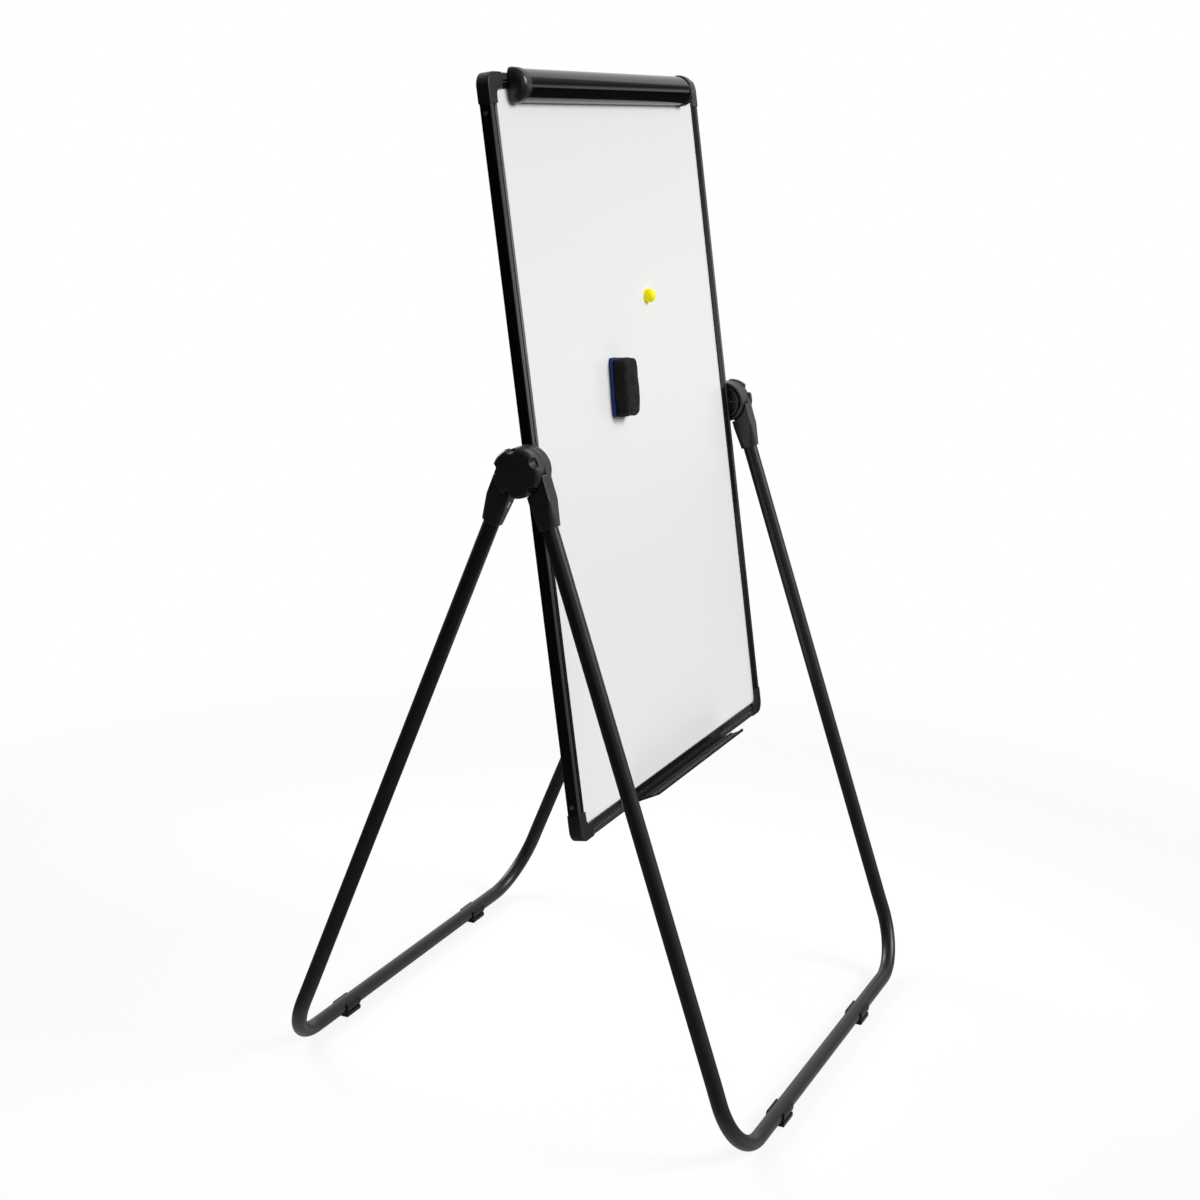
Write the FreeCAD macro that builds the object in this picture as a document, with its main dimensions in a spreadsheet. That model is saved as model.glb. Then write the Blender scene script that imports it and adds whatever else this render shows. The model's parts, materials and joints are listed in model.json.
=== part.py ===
import FreeCAD, Part
import math
import os
import Sketcher

# Flip whiteboard: a framed double-sided board that turns between two identical U-shaped tube legs.
# Millimetres. The origin is on the floor, under the hinge line; X runs along the hinge line,
# Y runs from the front of the board to its back, Z is up.

DIMENSIONS = (
    ("board_width", 700.0, "outer width of the framed board"),
    ("board_height", 1004.0, "outer height of the framed board"),
    ("pivot_rise", 505.2, "hinge line above the board's lower edge"),
    ("pivot_height", 903.4, "hinge line above the floor"),
    ("board_tilt", 10.0, "lean of the board from upright, in degrees"),
    ("leg_angle", 20.6, "each leg from upright, in degrees"),
    ("frame_width", 20.0, "face width of the aluminium frame"),
    ("frame_depth", 16.0, "front to back of the frame"),
    ("frame_wall", 2.0, "outer wall of the frame extrusion"),
    ("frame_lip", 3.0, "step from the frame's face down to the sheet"),
    ("frame_bevel", 0.8, "edge bevel of the frame extrusion"),
    ("frame_slope", 1.2, "fall of the face's inner half towards the sheet"),
    ("groove_width", 2.8, "accessory groove along the frame's face"),
    ("groove_depth", 2.4, "depth of that groove"),
    ("panel_seat", 8.0, "how far the panel sits inside the frame"),
    ("sheet_gauge", 0.4, "coated steel sheet"),
    ("panel_gap", 0.1, "clearance of the panel in its slot"),
    ("corner_reach", 38.0, "length of a corner cap along each edge"),
    ("corner_radius", 18.0, "outer rounding of a corner cap"),
    ("corner_inner_radius", 9.0, "inner rounding of a corner cap"),
    ("corner_proud", 1.0, "how far a corner cap stands out of the frame"),
    ("corner_round", 1.2, "edge rounding of a corner cap"),
    ("tongue_length", 24.0, "tongue of a corner cap inside the extrusion"),
    ("tongue_gap", 0.3, "clearance of the tongue"),
    ("rivet_radius", 1.5, "shank of a corner rivet"),
    ("rivet_head_radius", 3.0, "head of a corner rivet"),
    ("rivet_head_height", 1.0, "height of that head"),
    ("fit_gap", 0.08, "radial clearance of turning and fixed pins"),
    ("hub_gauge", 8.8, "thickness of the hinge plate on the stile"),
    ("hub_hollow", 6.0, "depth of the hollows in the back of the hinge plate"),
    ("hub_wall", 2.0, "walls and ribs in the back of the hinge plate"),
    ("hub_boss_radius", 9.0, "boss in the middle of the hinge plate"),
    ("hub_ring_radius", 22.5, "inside of the ring wall round that boss"),
    ("hub_rib_count", 4, "ribs from the boss to the ring wall"),
    ("stud_radius", 4.0, "hinge stud"),
    ("stud_head_radius", 5.4, "head of the stud inside the stile"),
    ("stud_head_height", 3.0, "height of that head"),
    ("stud_tip_gap", 3.0, "knob cap over the stud's tip"),
    ("hinge_gap", 0.2, "running gap beside the hinge discs"),
    ("disc_radius", 31.5, "hinge disc of a bracket"),
    ("disc_gauge", 11.5, "thickness of a hinge disc"),
    ("disc_edge", 0.9, "bevel of the disc's rim"),
    ("washer_gauge", 0.8, "friction washer between the discs"),
    ("washer_radius", 26.0, "friction washer"),
    ("shoulder_gap", 0.7, "clearance between a disc and the other arm's shoulder"),
    ("arm_gauge", 26.0, "thickness of a bracket's socket arm"),
    ("arm_length", 80.0, "hinge line to the end of the socket arm"),
    ("arm_width", 27.0, "width of the socket arm at its end"),
    ("arm_taper", 34.0, "length of the arm's narrowing end"),
    ("arm_round", 1.2, "corner rounding of the arm's square end"),
    ("arm_waist_round", 2.6, "corner rounding of the arm where it starts to narrow"),
    ("arm_end_round", 11.0, "corner rounding of the arm's socket end"),
    ("socket_depth", 42.0, "tube inside the socket arm"),
    ("socket_gap", 0.3, "clearance of the tube in the socket"),
    ("tube_radius", 11.0, "leg tube"),
    ("tube_wall", 1.2, "wall of the leg tube"),
    ("tube_offset", 14.1, "tube axis from the hinge line"),
    ("tube_splay", 3.0, "outward lean of each leg tube over its length"),
    ("bend_radius", 85.0, "centre-line radius of the tube's lower bends"),
    ("screw_radius", 1.9, "shank of a bracket screw"),
    ("screw_head_radius", 4.2, "head of a bracket screw"),
    ("screw_head_height", 1.1, "height of that head"),
    ("screw_inset", 30.0, "bracket screw from the end of the socket arm"),
    ("foot_length", 38.0, "length of a foot clip along the tube"),
    ("foot_width", 27.0, "width of a foot clip's sole"),
    ("foot_sole", 3.0, "sole of a foot clip under the tube"),
    ("foot_wall", 2.6, "side wall of a foot clip"),
    ("foot_wall_rise", 6.0, "side wall above the tube's axis"),
    ("foot_block", 6.0, "height of the block over a foot clip's sole"),
    ("foot_gap", 0.15, "clearance of a foot clip on the tube"),
    ("foot_place", 205.0, "foot clip from the middle of the floor bar"),
    ("foot_place_short", 155.0, "the front right foot clip, set further in"),
    ("knob_radius", 33.0, "clamping knob"),
    ("knob_height", 13.0, "height of the knob"),
    ("knob_round", 6.0, "edge rounding of the knob's face"),
    ("scallop_radius", 8.8, "finger scallop of the knob, at its face"),
    ("scallop_bite", 7.4, "depth of a scallop from the rim, at the knob's face"),
    ("scallop_foot_radius", 6.2, "radius of a scallop at the knob's foot"),
    ("scallop_count", 5, "scallops round the knob"),
    ("left_knob_turn", 4.5, "the left knob as it happens to stand, in degrees"),
    ("right_knob_turn", -10.0, "the right knob as it happens to stand, in degrees"),
    ("nut_flats", 13.0, "nut inside the knob, across flats"),
    ("nut_height", 6.0, "height of that nut"),
    ("clamp_radius", 21.7, "half-round clamp bar"),
    ("clamp_wall", 2.0, "wall of the clamp bar"),
    ("clamp_overhang", 5.8, "clamp bar above the board's upper edge"),
    ("clamp_gap", 0.5, "clamp bar in front of the frame"),
    ("clamp_inset", 56.0, "board's side to the outer end of a clamp end cap"),
    ("clamp_cap_length", 22.0, "length of an end cap"),
    ("clamp_cap_proud", 1.5, "how far an end cap stands out of the bar"),
    ("clamp_cap_round", 10.0, "rounding of an end cap's outer end"),
    ("clamp_cap_edge", 1.0, "bevel of an end cap's inner edge"),
    ("clamp_end_gap", 0.3, "play between the bar and an end cap"),
    ("clamp_lip", 5.0, "height of the bar's gripping lip"),
    ("clamp_axis_lead", 7.0, "clamp pin in front of the frame"),
    ("clamp_axis_drop", 11.8, "clamp pin below the board's upper edge"),
    ("grip_gauge", 1.3, "rubber strip on the gripping lip"),
    ("paper_gap", 0.3, "gap between the rubber strip and the sheet"),
    ("base_gauge", 2.0, "clamp base plate"),
    ("base_height", 18.0, "clamp base plate on the top rail"),
    ("base_drop", 2.0, "clamp base plate below the board's upper edge"),
    ("base_margin", 22.0, "end of the clamp bar to the end of its base plate"),
    ("ear_radius", 4.0, "ears and lugs round the clamp pin"),
    ("ear_gauge", 4.0, "thickness of those ears and lugs"),
    ("ear_place", 120.0, "outer ears of the base from its middle"),
    ("lug_place", 60.0, "inner lugs of the bar from its middle"),
    ("pin_radius", 1.75, "clamp pin"),
    ("spring_place", 150.0, "torsion spring from the middle of the clamp"),
    ("spring_wire", 1.0, "spring wire diameter"),
    ("spring_coil", 4.4, "mean radius of the spring's coil"),
    ("spring_length", 15.0, "close coil of a torsion spring along the pin"),
    ("spring_leg", 9.0, "leg of a torsion spring along the base plate"),
    ("tray_length", 336.0, "pen tray"),
    ("tray_x", -6.0, "pen tray from the board's middle"),
    ("tray_depth", 40.5, "pen tray in front of the frame"),
    ("tray_rise", 13.0, "how much the tray's floor climbs to its front"),
    ("tray_gauge", 2.5, "thickness of the tray's floor and back"),
    ("tray_foot", 2.0, "tray's lowest edge above the board's lower edge"),
    ("tray_lip", 2.0, "lip along the tray's front"),
    ("tray_rib", 2.0, "pen rib on the tray's floor"),
    ("tray_gap", 0.2, "clearance of the tray on the frame"),
    ("magnet_radius", 10.0, "button magnet"),
    ("magnet_height", 13.5, "height of the button magnet"),
    ("magnet_round", 9.0, "rounding of the button's dome"),
    ("magnet_core_radius", 7.0, "magnet disc inside the button"),
    ("magnet_core_height", 3.0, "height of that disc"),
    ("magnet_x", 78.0, "button magnet from the board's middle"),
    ("magnet_z", 189.0, "button magnet above the hinge line"),
    ("eraser_width", 50.0, "eraser"),
    ("eraser_height", 83.0, "eraser"),
    ("eraser_base", 5.8, "plastic back of the eraser"),
    ("eraser_felt", 19.5, "felt pad of the eraser"),
    ("felt_round", 5.0, "rounding of the felt pad's face"),
    ("eraser_round", 7.0, "corner rounding of the eraser"),
    ("eraser_inset", 0.8, "felt pad inside the outline of its back"),
    ("eraser_magnet_radius", 6.0, "magnets in the eraser's back"),
    ("eraser_magnet_height", 3.0, "height of those magnets"),
    ("eraser_magnet_place", 22.0, "those magnets from the eraser's middle"),
    ("eraser_x", -61.0, "eraser from the board's middle"),
    ("eraser_z", 71.0, "eraser above the hinge line"),
    ("eraser_turn", 6.0, "the eraser sits a little askew, in degrees"),
)

X_AXIS = FreeCAD.Vector(1, 0, 0)
Y_AXIS = FreeCAD.Vector(0, 1, 0)
Z_AXIS = FreeCAD.Vector(0, 0, 1)
QUARTER_TURN = 90
HALF_TURN = 180
SHEET = "Sizes"
TOUCH = 1e-4


class Size:
    """A length with its value and the spreadsheet expression that gives it."""

    def __init__(self, value, text):
        self.value = float(value)
        self.text = text

    def __add__(self, other):
        other = as_size(other)
        return Size(self.value + other.value, f"({self.text} + {other.text})")

    def __sub__(self, other):
        other = as_size(other)
        return Size(self.value - other.value, f"({self.text} - {other.text})")

    def __mul__(self, other):
        other = as_size(other)
        return Size(self.value * other.value, f"({self.text} * {other.text})")

    def __truediv__(self, other):
        other = as_size(other)
        return Size(self.value / other.value, f"({self.text} / {other.text})")

    def __neg__(self):
        return Size(-self.value, f"(0 - {self.text})")

    def __radd__(self, other):
        return as_size(other) + self

    def __rsub__(self, other):
        return as_size(other) - self

    def __rmul__(self, other):
        return as_size(other) * self


def as_size(number):
    """A plain number as a Size."""
    return number if isinstance(number, Size) else Size(number, f"{number:g}")


def square_root(size):
    """The square root of a Size."""
    return Size(math.sqrt(size.value), f"sqrt({size.text})")


def arc_tangent(ratio):
    """The angle of a slope, as a Size in degrees."""
    return Size(math.degrees(math.atan(ratio.value)), f"(atan({ratio.text}) / 1 deg)")


def sine(angle):
    """The sine of a Size in degrees."""
    return Size(math.sin(math.radians(angle.value)), f"sin({angle.text} * 1 deg)")


def cosine(angle):
    """The cosine of a Size in degrees."""
    return Size(math.cos(math.radians(angle.value)), f"cos({angle.text} * 1 deg)")


class Sizes:
    """The driving dimensions of the spreadsheet as Size attributes."""

    def __init__(self, sheet):
        for row, (alias, value, note) in enumerate(DIMENSIONS, start=1):
            sheet.set(f"A{row}", note)
            sheet.set(f"B{row}", str(value))
            sheet.setAlias(f"B{row}", alias)
            setattr(self, alias, Size(value, f"{SHEET}.{alias}"))


doc = FreeCAD.newDocument("flip_whiteboard")
size = Sizes(doc.addObject("Spreadsheet::Sheet", SHEET))
doc.recompute()
pieces = []


def moved(x=0.0, y=0.0, z=0.0):
    """A shift."""
    return FreeCAD.Placement(FreeCAD.Vector(as_size(x).value, as_size(y).value, as_size(z).value),
                             FreeCAD.Rotation())


def turned(axis, angle):
    """A turn about a line through the origin, in degrees."""
    return FreeCAD.Placement(FreeCAD.Vector(), FreeCAD.Rotation(axis, as_size(angle).value))


def keep(piece, label, placement):
    """Names a finished piece and puts it in its place."""
    piece.Label = label
    piece.Placement = placement
    pieces.append(piece)


def new_body(name):
    """An empty body."""
    return doc.addObject("PartDesign::Body", name)


def new_sketch(body, plane, height=0.0):
    """A sketch on one of the body's own planes, lifted along that plane's normal."""
    sketch = body.newObject("Sketcher::SketchObject", f"{body.Name}_sketch")
    support = next(item for item in body.Origin.OriginFeatures if item.Role == plane)
    sketch.AttachmentSupport = (support, [""])
    sketch.MapMode = "FlatFace"
    sketch.setExpression("AttachmentOffset.Base.z", as_size(height).text)
    return sketch


def pin(sketch, curve, end, point):
    """Ties a point of a sketch to sizes along both of the sketch's axes."""
    for kind, axis, coordinate in (("DistanceX", -2, point[0]), ("DistanceY", -1, point[1])):
        coordinate = as_size(coordinate)
        if coordinate.text == "0":
            sketch.addConstraint(Sketcher.Constraint("PointOnObject", curve, end, axis))
            continue
        rule = Sketcher.Constraint(kind, -1, 1, curve, end, coordinate.value)
        index = sketch.addConstraint(rule)
        sketch.setExpression(f"Constraints[{index}]", coordinate.text)


def draw_circle(sketch, x, y, radius):
    """A circle with its centre and radius tied to sizes."""
    centre = FreeCAD.Vector(as_size(x).value, as_size(y).value, 0)
    curve = sketch.addGeometry(Part.Circle(centre, Z_AXIS, radius.value))
    pin(sketch, curve, 3, (x, y))
    index = sketch.addConstraint(Sketcher.Constraint("Radius", curve, radius.value))
    sketch.setExpression(f"Constraints[{index}]", radius.text)


def arc_between(start, end, radius, turn):
    """The arc of under a half circle from start to end; turn is 1 anticlockwise and -1 clockwise."""
    chord = end - start
    side = FreeCAD.Vector(-chord.y, chord.x, 0).normalize()
    lift = math.sqrt(max(radius ** 2 - (chord.Length / 2) ** 2, 0.0))
    centre = (start + end) / 2 + side * (lift * turn)
    first, last = (start, end) if turn > 0 else (end, start)
    angles = [math.atan2(point.y - centre.y, point.x - centre.x) for point in (first, last)]
    return Part.ArcOfCircle(Part.Circle(centre, Z_AXIS, radius), angles[0], angles[1])


def draw_outline(sketch, points, closed=True):
    """A chain of lines and arcs through points. A point is (x, y), or (x, y, radius, turn) where
    the stretch to the next point is an arc."""
    spots = [FreeCAD.Vector(as_size(point[0]).value, as_size(point[1]).value, 0) for point in points]
    stretches = len(points) if closed else len(points) - 1
    drawn = []
    for index in range(stretches):
        following = (index + 1) % len(points)
        if len(points[index]) == 2:
            curve = sketch.addGeometry(Part.LineSegment(spots[index], spots[following]))
            drawn.append((curve, 1, 2))
            continue
        radius, turn = points[index][2:]
        curve = sketch.addGeometry(arc_between(spots[index], spots[following], radius.value, turn))
        drawn.append((curve, 1, 2) if turn > 0 else (curve, 2, 1))
        rule = sketch.addConstraint(Sketcher.Constraint("Radius", curve, radius.value))
        sketch.setExpression(f"Constraints[{rule}]", radius.text)
    for index, (curve, start, end) in enumerate(drawn):
        pin(sketch, curve, start, points[index])
        if closed or index + 1 < stretches:
            other = drawn[(index + 1) % len(drawn)]
            sketch.addConstraint(Sketcher.Constraint("Coincident", curve, end, other[0], other[1]))
        else:
            pin(sketch, curve, end, points[index + 1])


def draw_box(sketch, low_x, low_y, high_x, high_y):
    """A rectangle between two corners."""
    draw_outline(sketch, [(low_x, low_y), (high_x, low_y), (high_x, high_y), (low_x, high_y)])


def draw_rounded_box(sketch, low_x, low_y, high_x, high_y, radius):
    """A rectangle between two corners with rounded corners."""
    draw_outline(sketch, [
        (low_x + radius, low_y),
        (high_x - radius, low_y, radius, 1),
        (high_x, low_y + radius),
        (high_x, high_y - radius, radius, 1),
        (high_x - radius, high_y),
        (low_x + radius, high_y, radius, 1),
        (low_x, high_y - radius),
        (low_x, low_y + radius, radius, 1),
    ])


def extrude(body, sketch, length, both_ways=False, kind="Pad"):
    """Pads a sketch along its normal, or pockets it."""
    feature = body.newObject(f"PartDesign::{kind}", f"{body.Name}_{kind.lower()}")
    feature.Profile = sketch
    feature.SideType = "Symmetric" if both_ways else "One side"
    feature.setExpression("Length", as_size(length).text)
    doc.recompute()
    return feature


def cut_away(body, sketch, length):
    """Pockets a sketch by a length that runs half to each side of it."""
    before = body.Shape.Volume
    feature = extrude(body, sketch, length, both_ways=True, kind="Pocket")
    if body.Shape.Volume > before - TOUCH:
        raise RuntimeError(f"{body.Name}: a pocket cuts nothing")
    return feature


def x_axis(body):
    """A body's own X axis, as a reference for turning."""
    return (next(item for item in body.Origin.OriginFeatures if item.Role == "X_Axis"), [""])


def revolve(body, sketch):
    """Turns a closed outline once round the body's X axis."""
    feature = body.newObject("PartDesign::Revolution", f"{sketch.Name}_revolved")
    feature.Profile = sketch
    feature.ReferenceAxis = x_axis(body)
    feature.Angle = 2 * HALF_TURN
    doc.recompute()


def ring_pattern(body, feature, count):
    """Repeats a feature evenly round the body's X axis."""
    ring = body.newObject("PartDesign::PolarPattern", f"{body.Name}_ring")
    ring.Originals = [feature]
    ring.Axis = x_axis(body)
    ring.setExpression("Occurrences", count.text)
    body.Tip = ring
    doc.recompute()


def edges_where(feature, test):
    """The names of a feature's edges that pass a test at every point between their ends."""
    names = []
    for index, edge in enumerate(feature.Shape.Edges, start=1):
        if all(test(point) for point in edge.discretize(5)[1:-1]):
            names.append(f"Edge{index}")
    return names


def round_edges(body, radius, test, kind="Fillet"):
    """Rounds the edges of the body's last feature that pass a test."""
    base = body.Tip
    names = edges_where(base, test)
    if not names:
        raise RuntimeError(f"{body.Name}: no edge to round")
    feature = body.newObject(f"PartDesign::{kind}", f"{body.Name}_{kind.lower()}")
    feature.Base = (base, names)
    feature.setExpression("Size" if kind == "Chamfer" else "Radius", radius.text)
    doc.recompute()


def near(value, target):
    """Whether a coordinate lies on a size."""
    return abs(value - as_size(target).value) < TOUCH


def solid_group(label, shapes, placement):
    """Loose like pieces that share one node."""
    feature = doc.addObject("Part::Feature", label)
    feature.Shape = Part.makeCompound(shapes)
    keep(feature, label, placement)


# Places that several pieces share, in the board's own frame: the hinge line is its origin.
half_width = size.board_width / 2
top_edge = size.board_height - size.pivot_rise
low_edge = -size.pivot_rise
front_face = -size.frame_depth / 2
sheet_face = front_face + size.frame_lip
board_frame = moved(0, 0, size.pivot_height) * turned(X_AXIS, -size.board_tilt)

# The accessory groove, measured in from the frame's outer edge.
groove_near = (size.frame_width - size.groove_width) / 2
groove_far = groove_near + size.groove_width

# The middle of the clamp bar's half circle, the clamp pin and the back of the clamp's rubber strip.
clamp_y = front_face - size.clamp_gap
clamp_z = top_edge + size.clamp_overhang - size.clamp_radius
clamp_pin_y = front_face - size.clamp_axis_lead
clamp_pin_z = top_edge - size.clamp_axis_drop
grip_back = sheet_face - size.paper_gap - size.grip_gauge
clamp_length = size.board_width - 2 * (size.clamp_inset + size.clamp_cap_length)
base_length = clamp_length - 2 * size.base_margin

# The hinge stack outside the board's edge: hinge plate, inner disc, washer, outer disc, knob.
inner_disc = size.hub_gauge + size.hinge_gap
tube_plane = half_width + inner_disc + size.disc_gauge + size.washer_gauge / 2
outer_disc_top = tube_plane + size.washer_gauge / 2 + size.disc_gauge
knob_foot = outer_disc_top + size.hinge_gap

# The floor bar of a leg, in the leg's own frame: its hinge line is the origin and the leg hangs down.
bar_height = size.tube_radius + size.foot_sole
bar_drop = (size.pivot_height + size.tube_offset * sine(size.leg_angle) - bar_height)
bar_drop = bar_drop / cosine(size.leg_angle)
# The socket arm of a bracket in the same frame, and the seat of its screw's head.
arm_inner = size.tube_offset - size.arm_width / 2
arm_outer = size.tube_offset + size.arm_width / 2
arm_top = size.disc_radius / 10
arm_waist = size.arm_length - size.arm_taper
screw_drop = size.arm_length - size.screw_inset
screw_seat = size.screw_head_height + size.fit_gap

front_leg_frame = moved(0, 0, size.pivot_height) * turned(X_AXIS, -size.leg_angle)
rear_leg_frame = turned(Z_AXIS, HALF_TURN) * front_leg_frame


# Panel: two coated steel sheets on a core

panel_margin = size.frame_width - size.panel_seat
panel_width = size.board_width - 2 * panel_margin
panel_height = size.board_height - 2 * panel_margin
core_gauge = size.frame_depth - 2 * size.frame_lip - 2 * size.sheet_gauge


def make_panel():
    """The white writing sheets, front and back, and the core between them."""
    layers = (("front_sheet", size.sheet_gauge, sheet_face),
              ("board_core", core_gauge, sheet_face + size.sheet_gauge),
              ("back_sheet", size.sheet_gauge, -sheet_face - size.sheet_gauge))
    for label, gauge, depth in layers:
        layer = doc.addObject("Part::Box", label)
        layer.setExpression("Length", panel_width.text)
        layer.setExpression("Width", gauge.text)
        layer.setExpression("Height", panel_height.text)
        corner = moved(-panel_width / 2, depth, low_edge + panel_margin)
        keep(layer, label, board_frame * corner)


# Frame: four lengths of one extrusion, joined by corner caps

slot_floor = panel_margin - size.panel_gap
slot_half = core_gauge / 2 + size.sheet_gauge + size.panel_gap
chamber_end = groove_near - size.frame_wall
chamber_half = size.frame_depth / 2 - size.frame_wall
rivet_place = size.corner_reach + size.tongue_length / 2


def draw_extrusion(sketch):
    """Section of the frame: x runs in from the outer edge, y from front to back. It has a hollow
    chamber, a slot for the panel, and an accessory groove on each face."""
    half = size.frame_depth / 2
    groove_floor = half - size.groove_depth
    front = [
        (0, size.frame_bevel - half),
        (size.frame_bevel, -half),
        (groove_near, -half),
        (groove_near, -groove_floor),
        (groove_far, -groove_floor),
        (groove_far, -half),
        (size.frame_width, size.frame_slope - half),
        (size.frame_width, -slot_half),
        (slot_floor, -slot_half),
    ]
    back = [(x, -as_size(y)) for x, y in reversed(front)]
    draw_outline(sketch, front + back)
    wall = size.frame_wall
    draw_box(sketch, wall, -chamber_half, chamber_end, chamber_half)


def make_rail(label, span, placement, has_stud):
    """One side of the frame between two corner caps, with its rivet holes."""
    body = new_body(label)
    sketch = new_sketch(body, "XY_Plane")
    draw_extrusion(sketch)
    length = span - 2 * size.corner_reach
    extrude(body, sketch, length, both_ways=True)
    if has_stud:
        holes = new_sketch(body, "YZ_Plane")
        for end in (-1, 1):
            draw_circle(holes, 0, end * (span / 2 - rivet_place), size.rivet_radius + size.fit_gap)
        draw_circle(holes, 0, size.pivot_rise - size.board_height / 2, size.stud_radius + size.fit_gap)
        cut_away(body, holes, 3 * size.frame_wall)
    keep(body, label, board_frame * placement)


def make_frame():
    """The two stiles and the two rails."""
    middle = (top_edge + low_edge) / 2
    left = moved(-half_width, 0, middle)
    right = turned(Z_AXIS, HALF_TURN) * moved(-half_width, 0, middle)
    top = moved(0, 0, top_edge) * turned(Y_AXIS, QUARTER_TURN)
    bottom = moved(0, 0, low_edge) * turned(Y_AXIS, -QUARTER_TURN)
    make_rail("left_stile", size.board_height, left, True)
    make_rail("right_stile", size.board_height, right, True)
    make_rail("top_rail", size.board_width, top, False)
    make_rail("bottom_rail", size.board_width, bottom, False)


def make_corner(label, placement):
    """A moulded corner cap: a rounded angle with a slot for the panel and a tongue for each rail."""
    body = new_body(label)
    out = size.corner_proud
    wide = size.frame_width
    reach = size.corner_reach
    bend = size.corner_radius
    inner = size.corner_inner_radius
    sketch = new_sketch(body, "XZ_Plane")
    draw_outline(sketch, [
        (-out, -reach),
        (wide, -reach),
        (wide, -(wide + inner), inner, -1),
        (wide + inner, -wide),
        (reach, -wide),
        (reach, out),
        (bend - out, out, bend, 1),
        (-out, out - bend),
    ])
    thick = size.frame_depth + 2 * size.corner_proud
    extrude(body, sketch, thick, both_ways=True)
    half = thick / 2
    limit = wide - panel_margin / 2
    round_edges(body, size.corner_round, lambda point: near(abs(point.y), half)
                and (point.x < limit.value or point.z > -limit.value)
                and not near(point.x, reach) and not near(point.z, -reach))
    slot = new_sketch(body, "XZ_Plane")
    draw_box(slot, slot_floor, -2 * reach, 2 * reach, -slot_floor)
    cut_away(body, slot, 2 * slot_half)
    near_side = size.frame_wall + size.tongue_gap
    far_side = chamber_end - size.tongue_gap
    tip = reach + size.tongue_length
    tongues = new_sketch(body, "XZ_Plane")
    draw_box(tongues, reach - size.frame_wall, -far_side, tip, -near_side)
    draw_box(tongues, near_side, -tip, far_side, -(reach - size.frame_wall))
    extrude(body, tongues, 2 * (chamber_half - size.tongue_gap), both_ways=True)
    holes = new_sketch(body, "YZ_Plane")
    draw_circle(holes, 0, -rivet_place, size.rivet_radius + size.fit_gap)
    cut_away(body, holes, 4 * chamber_end)
    keep(body, label, board_frame * placement)


def make_corners():
    """The four corner caps: one moulding, turned a quarter turn from corner to corner."""
    make_corner("top_left_corner", moved(-half_width, 0, top_edge))
    make_corner("top_right_corner", moved(half_width, 0, top_edge) * turned(Z_AXIS, HALF_TURN))
    flip = turned(X_AXIS, HALF_TURN)
    make_corner("bottom_left_corner", moved(-half_width, 0, low_edge) * flip)
    make_corner("bottom_right_corner", moved(half_width, 0, low_edge) * turned(Z_AXIS, HALF_TURN) * flip)


def make_rivets():
    """The rivets that hold the stiles to the corner caps' tongues."""
    shapes = []
    for side in (-1, 1):
        for height in (top_edge - rivet_place, low_edge + rivet_place):
            start = FreeCAD.Vector(side * half_width.value, 0, height.value)
            outward = X_AXIS * side
            head = Part.makeCylinder(size.rivet_head_radius.value, size.rivet_head_height.value, start, outward)
            shank = Part.makeCylinder(size.rivet_radius.value, chamber_end.value, start, -outward)
            shapes.append(head.fuse(shank).removeSplitter())
    solid_group("corner_rivets", shapes, board_frame)


# Hinges: a plate and stud on each stile, carrying the discs of both legs and a clamping knob

def add_disc(body, low, high):
    """A hinge disc with bevelled rims between two places on the hinge line."""
    disc, edge = size.disc_radius, size.disc_edge
    profile = new_sketch(body, "XY_Plane")
    draw_outline(profile, [(low, 0), (high, 0), (high, disc - edge), (high - edge, disc),
                           (low + edge, disc), (low, disc - edge)])
    revolve(body, profile)


def make_hub(label, placement):
    """The hinge plate on a stile: a moulded disc that is hollow at the back, between a rim, a ring
    wall and a boss that ribs tie together."""
    body = new_body(label)
    add_disc(body, as_size(0), size.hub_gauge)
    wall = size.hub_wall
    ring = size.hub_ring_radius
    for outside, inside in ((size.disc_radius - size.disc_edge - wall, ring + wall), (ring, size.hub_boss_radius)):
        hollow = new_sketch(body, "YZ_Plane")
        draw_circle(hollow, 0, 0, outside)
        draw_circle(hollow, 0, 0, inside)
        cut_away(body, hollow, 2 * size.hub_hollow)
    rib = new_sketch(body, "YZ_Plane")
    draw_box(rib, -wall / 2, size.hub_boss_radius - wall / 2, wall / 2, ring + wall / 2)
    ring_pattern(body, extrude(body, rib, size.hub_hollow), size.hub_rib_count)
    bore = new_sketch(body, "YZ_Plane")
    draw_circle(bore, 0, 0, size.stud_radius + size.fit_gap)
    cut_away(body, bore, 3 * size.hub_gauge)
    keep(body, label, board_frame * placement)


def make_stud(label, placement):
    """The hinge stud: its head sits inside the stile, and its shank runs out into the knob."""
    body = new_body(label)
    sketch = new_sketch(body, "YZ_Plane", -size.frame_wall - size.stud_head_height)
    draw_circle(sketch, 0, 0, size.stud_head_radius)
    extrude(body, sketch, size.stud_head_height)
    shank = new_sketch(body, "YZ_Plane", -size.frame_wall)
    draw_circle(shank, 0, 0, size.stud_radius)
    tip = knob_foot - half_width + size.knob_height - size.stud_tip_gap
    extrude(body, shank, tip - size.hinge_gap + size.frame_wall)
    keep(body, label, board_frame * placement)


def make_washer(label, placement):
    """The friction washer between the two discs."""
    body = new_body(label)
    sketch = new_sketch(body, "YZ_Plane", tube_plane - half_width)
    draw_circle(sketch, 0, 0, size.washer_radius)
    draw_circle(sketch, 0, 0, size.stud_radius + size.fit_gap)
    extrude(body, sketch, size.washer_gauge, both_ways=True)
    keep(body, label, board_frame * placement)


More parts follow.
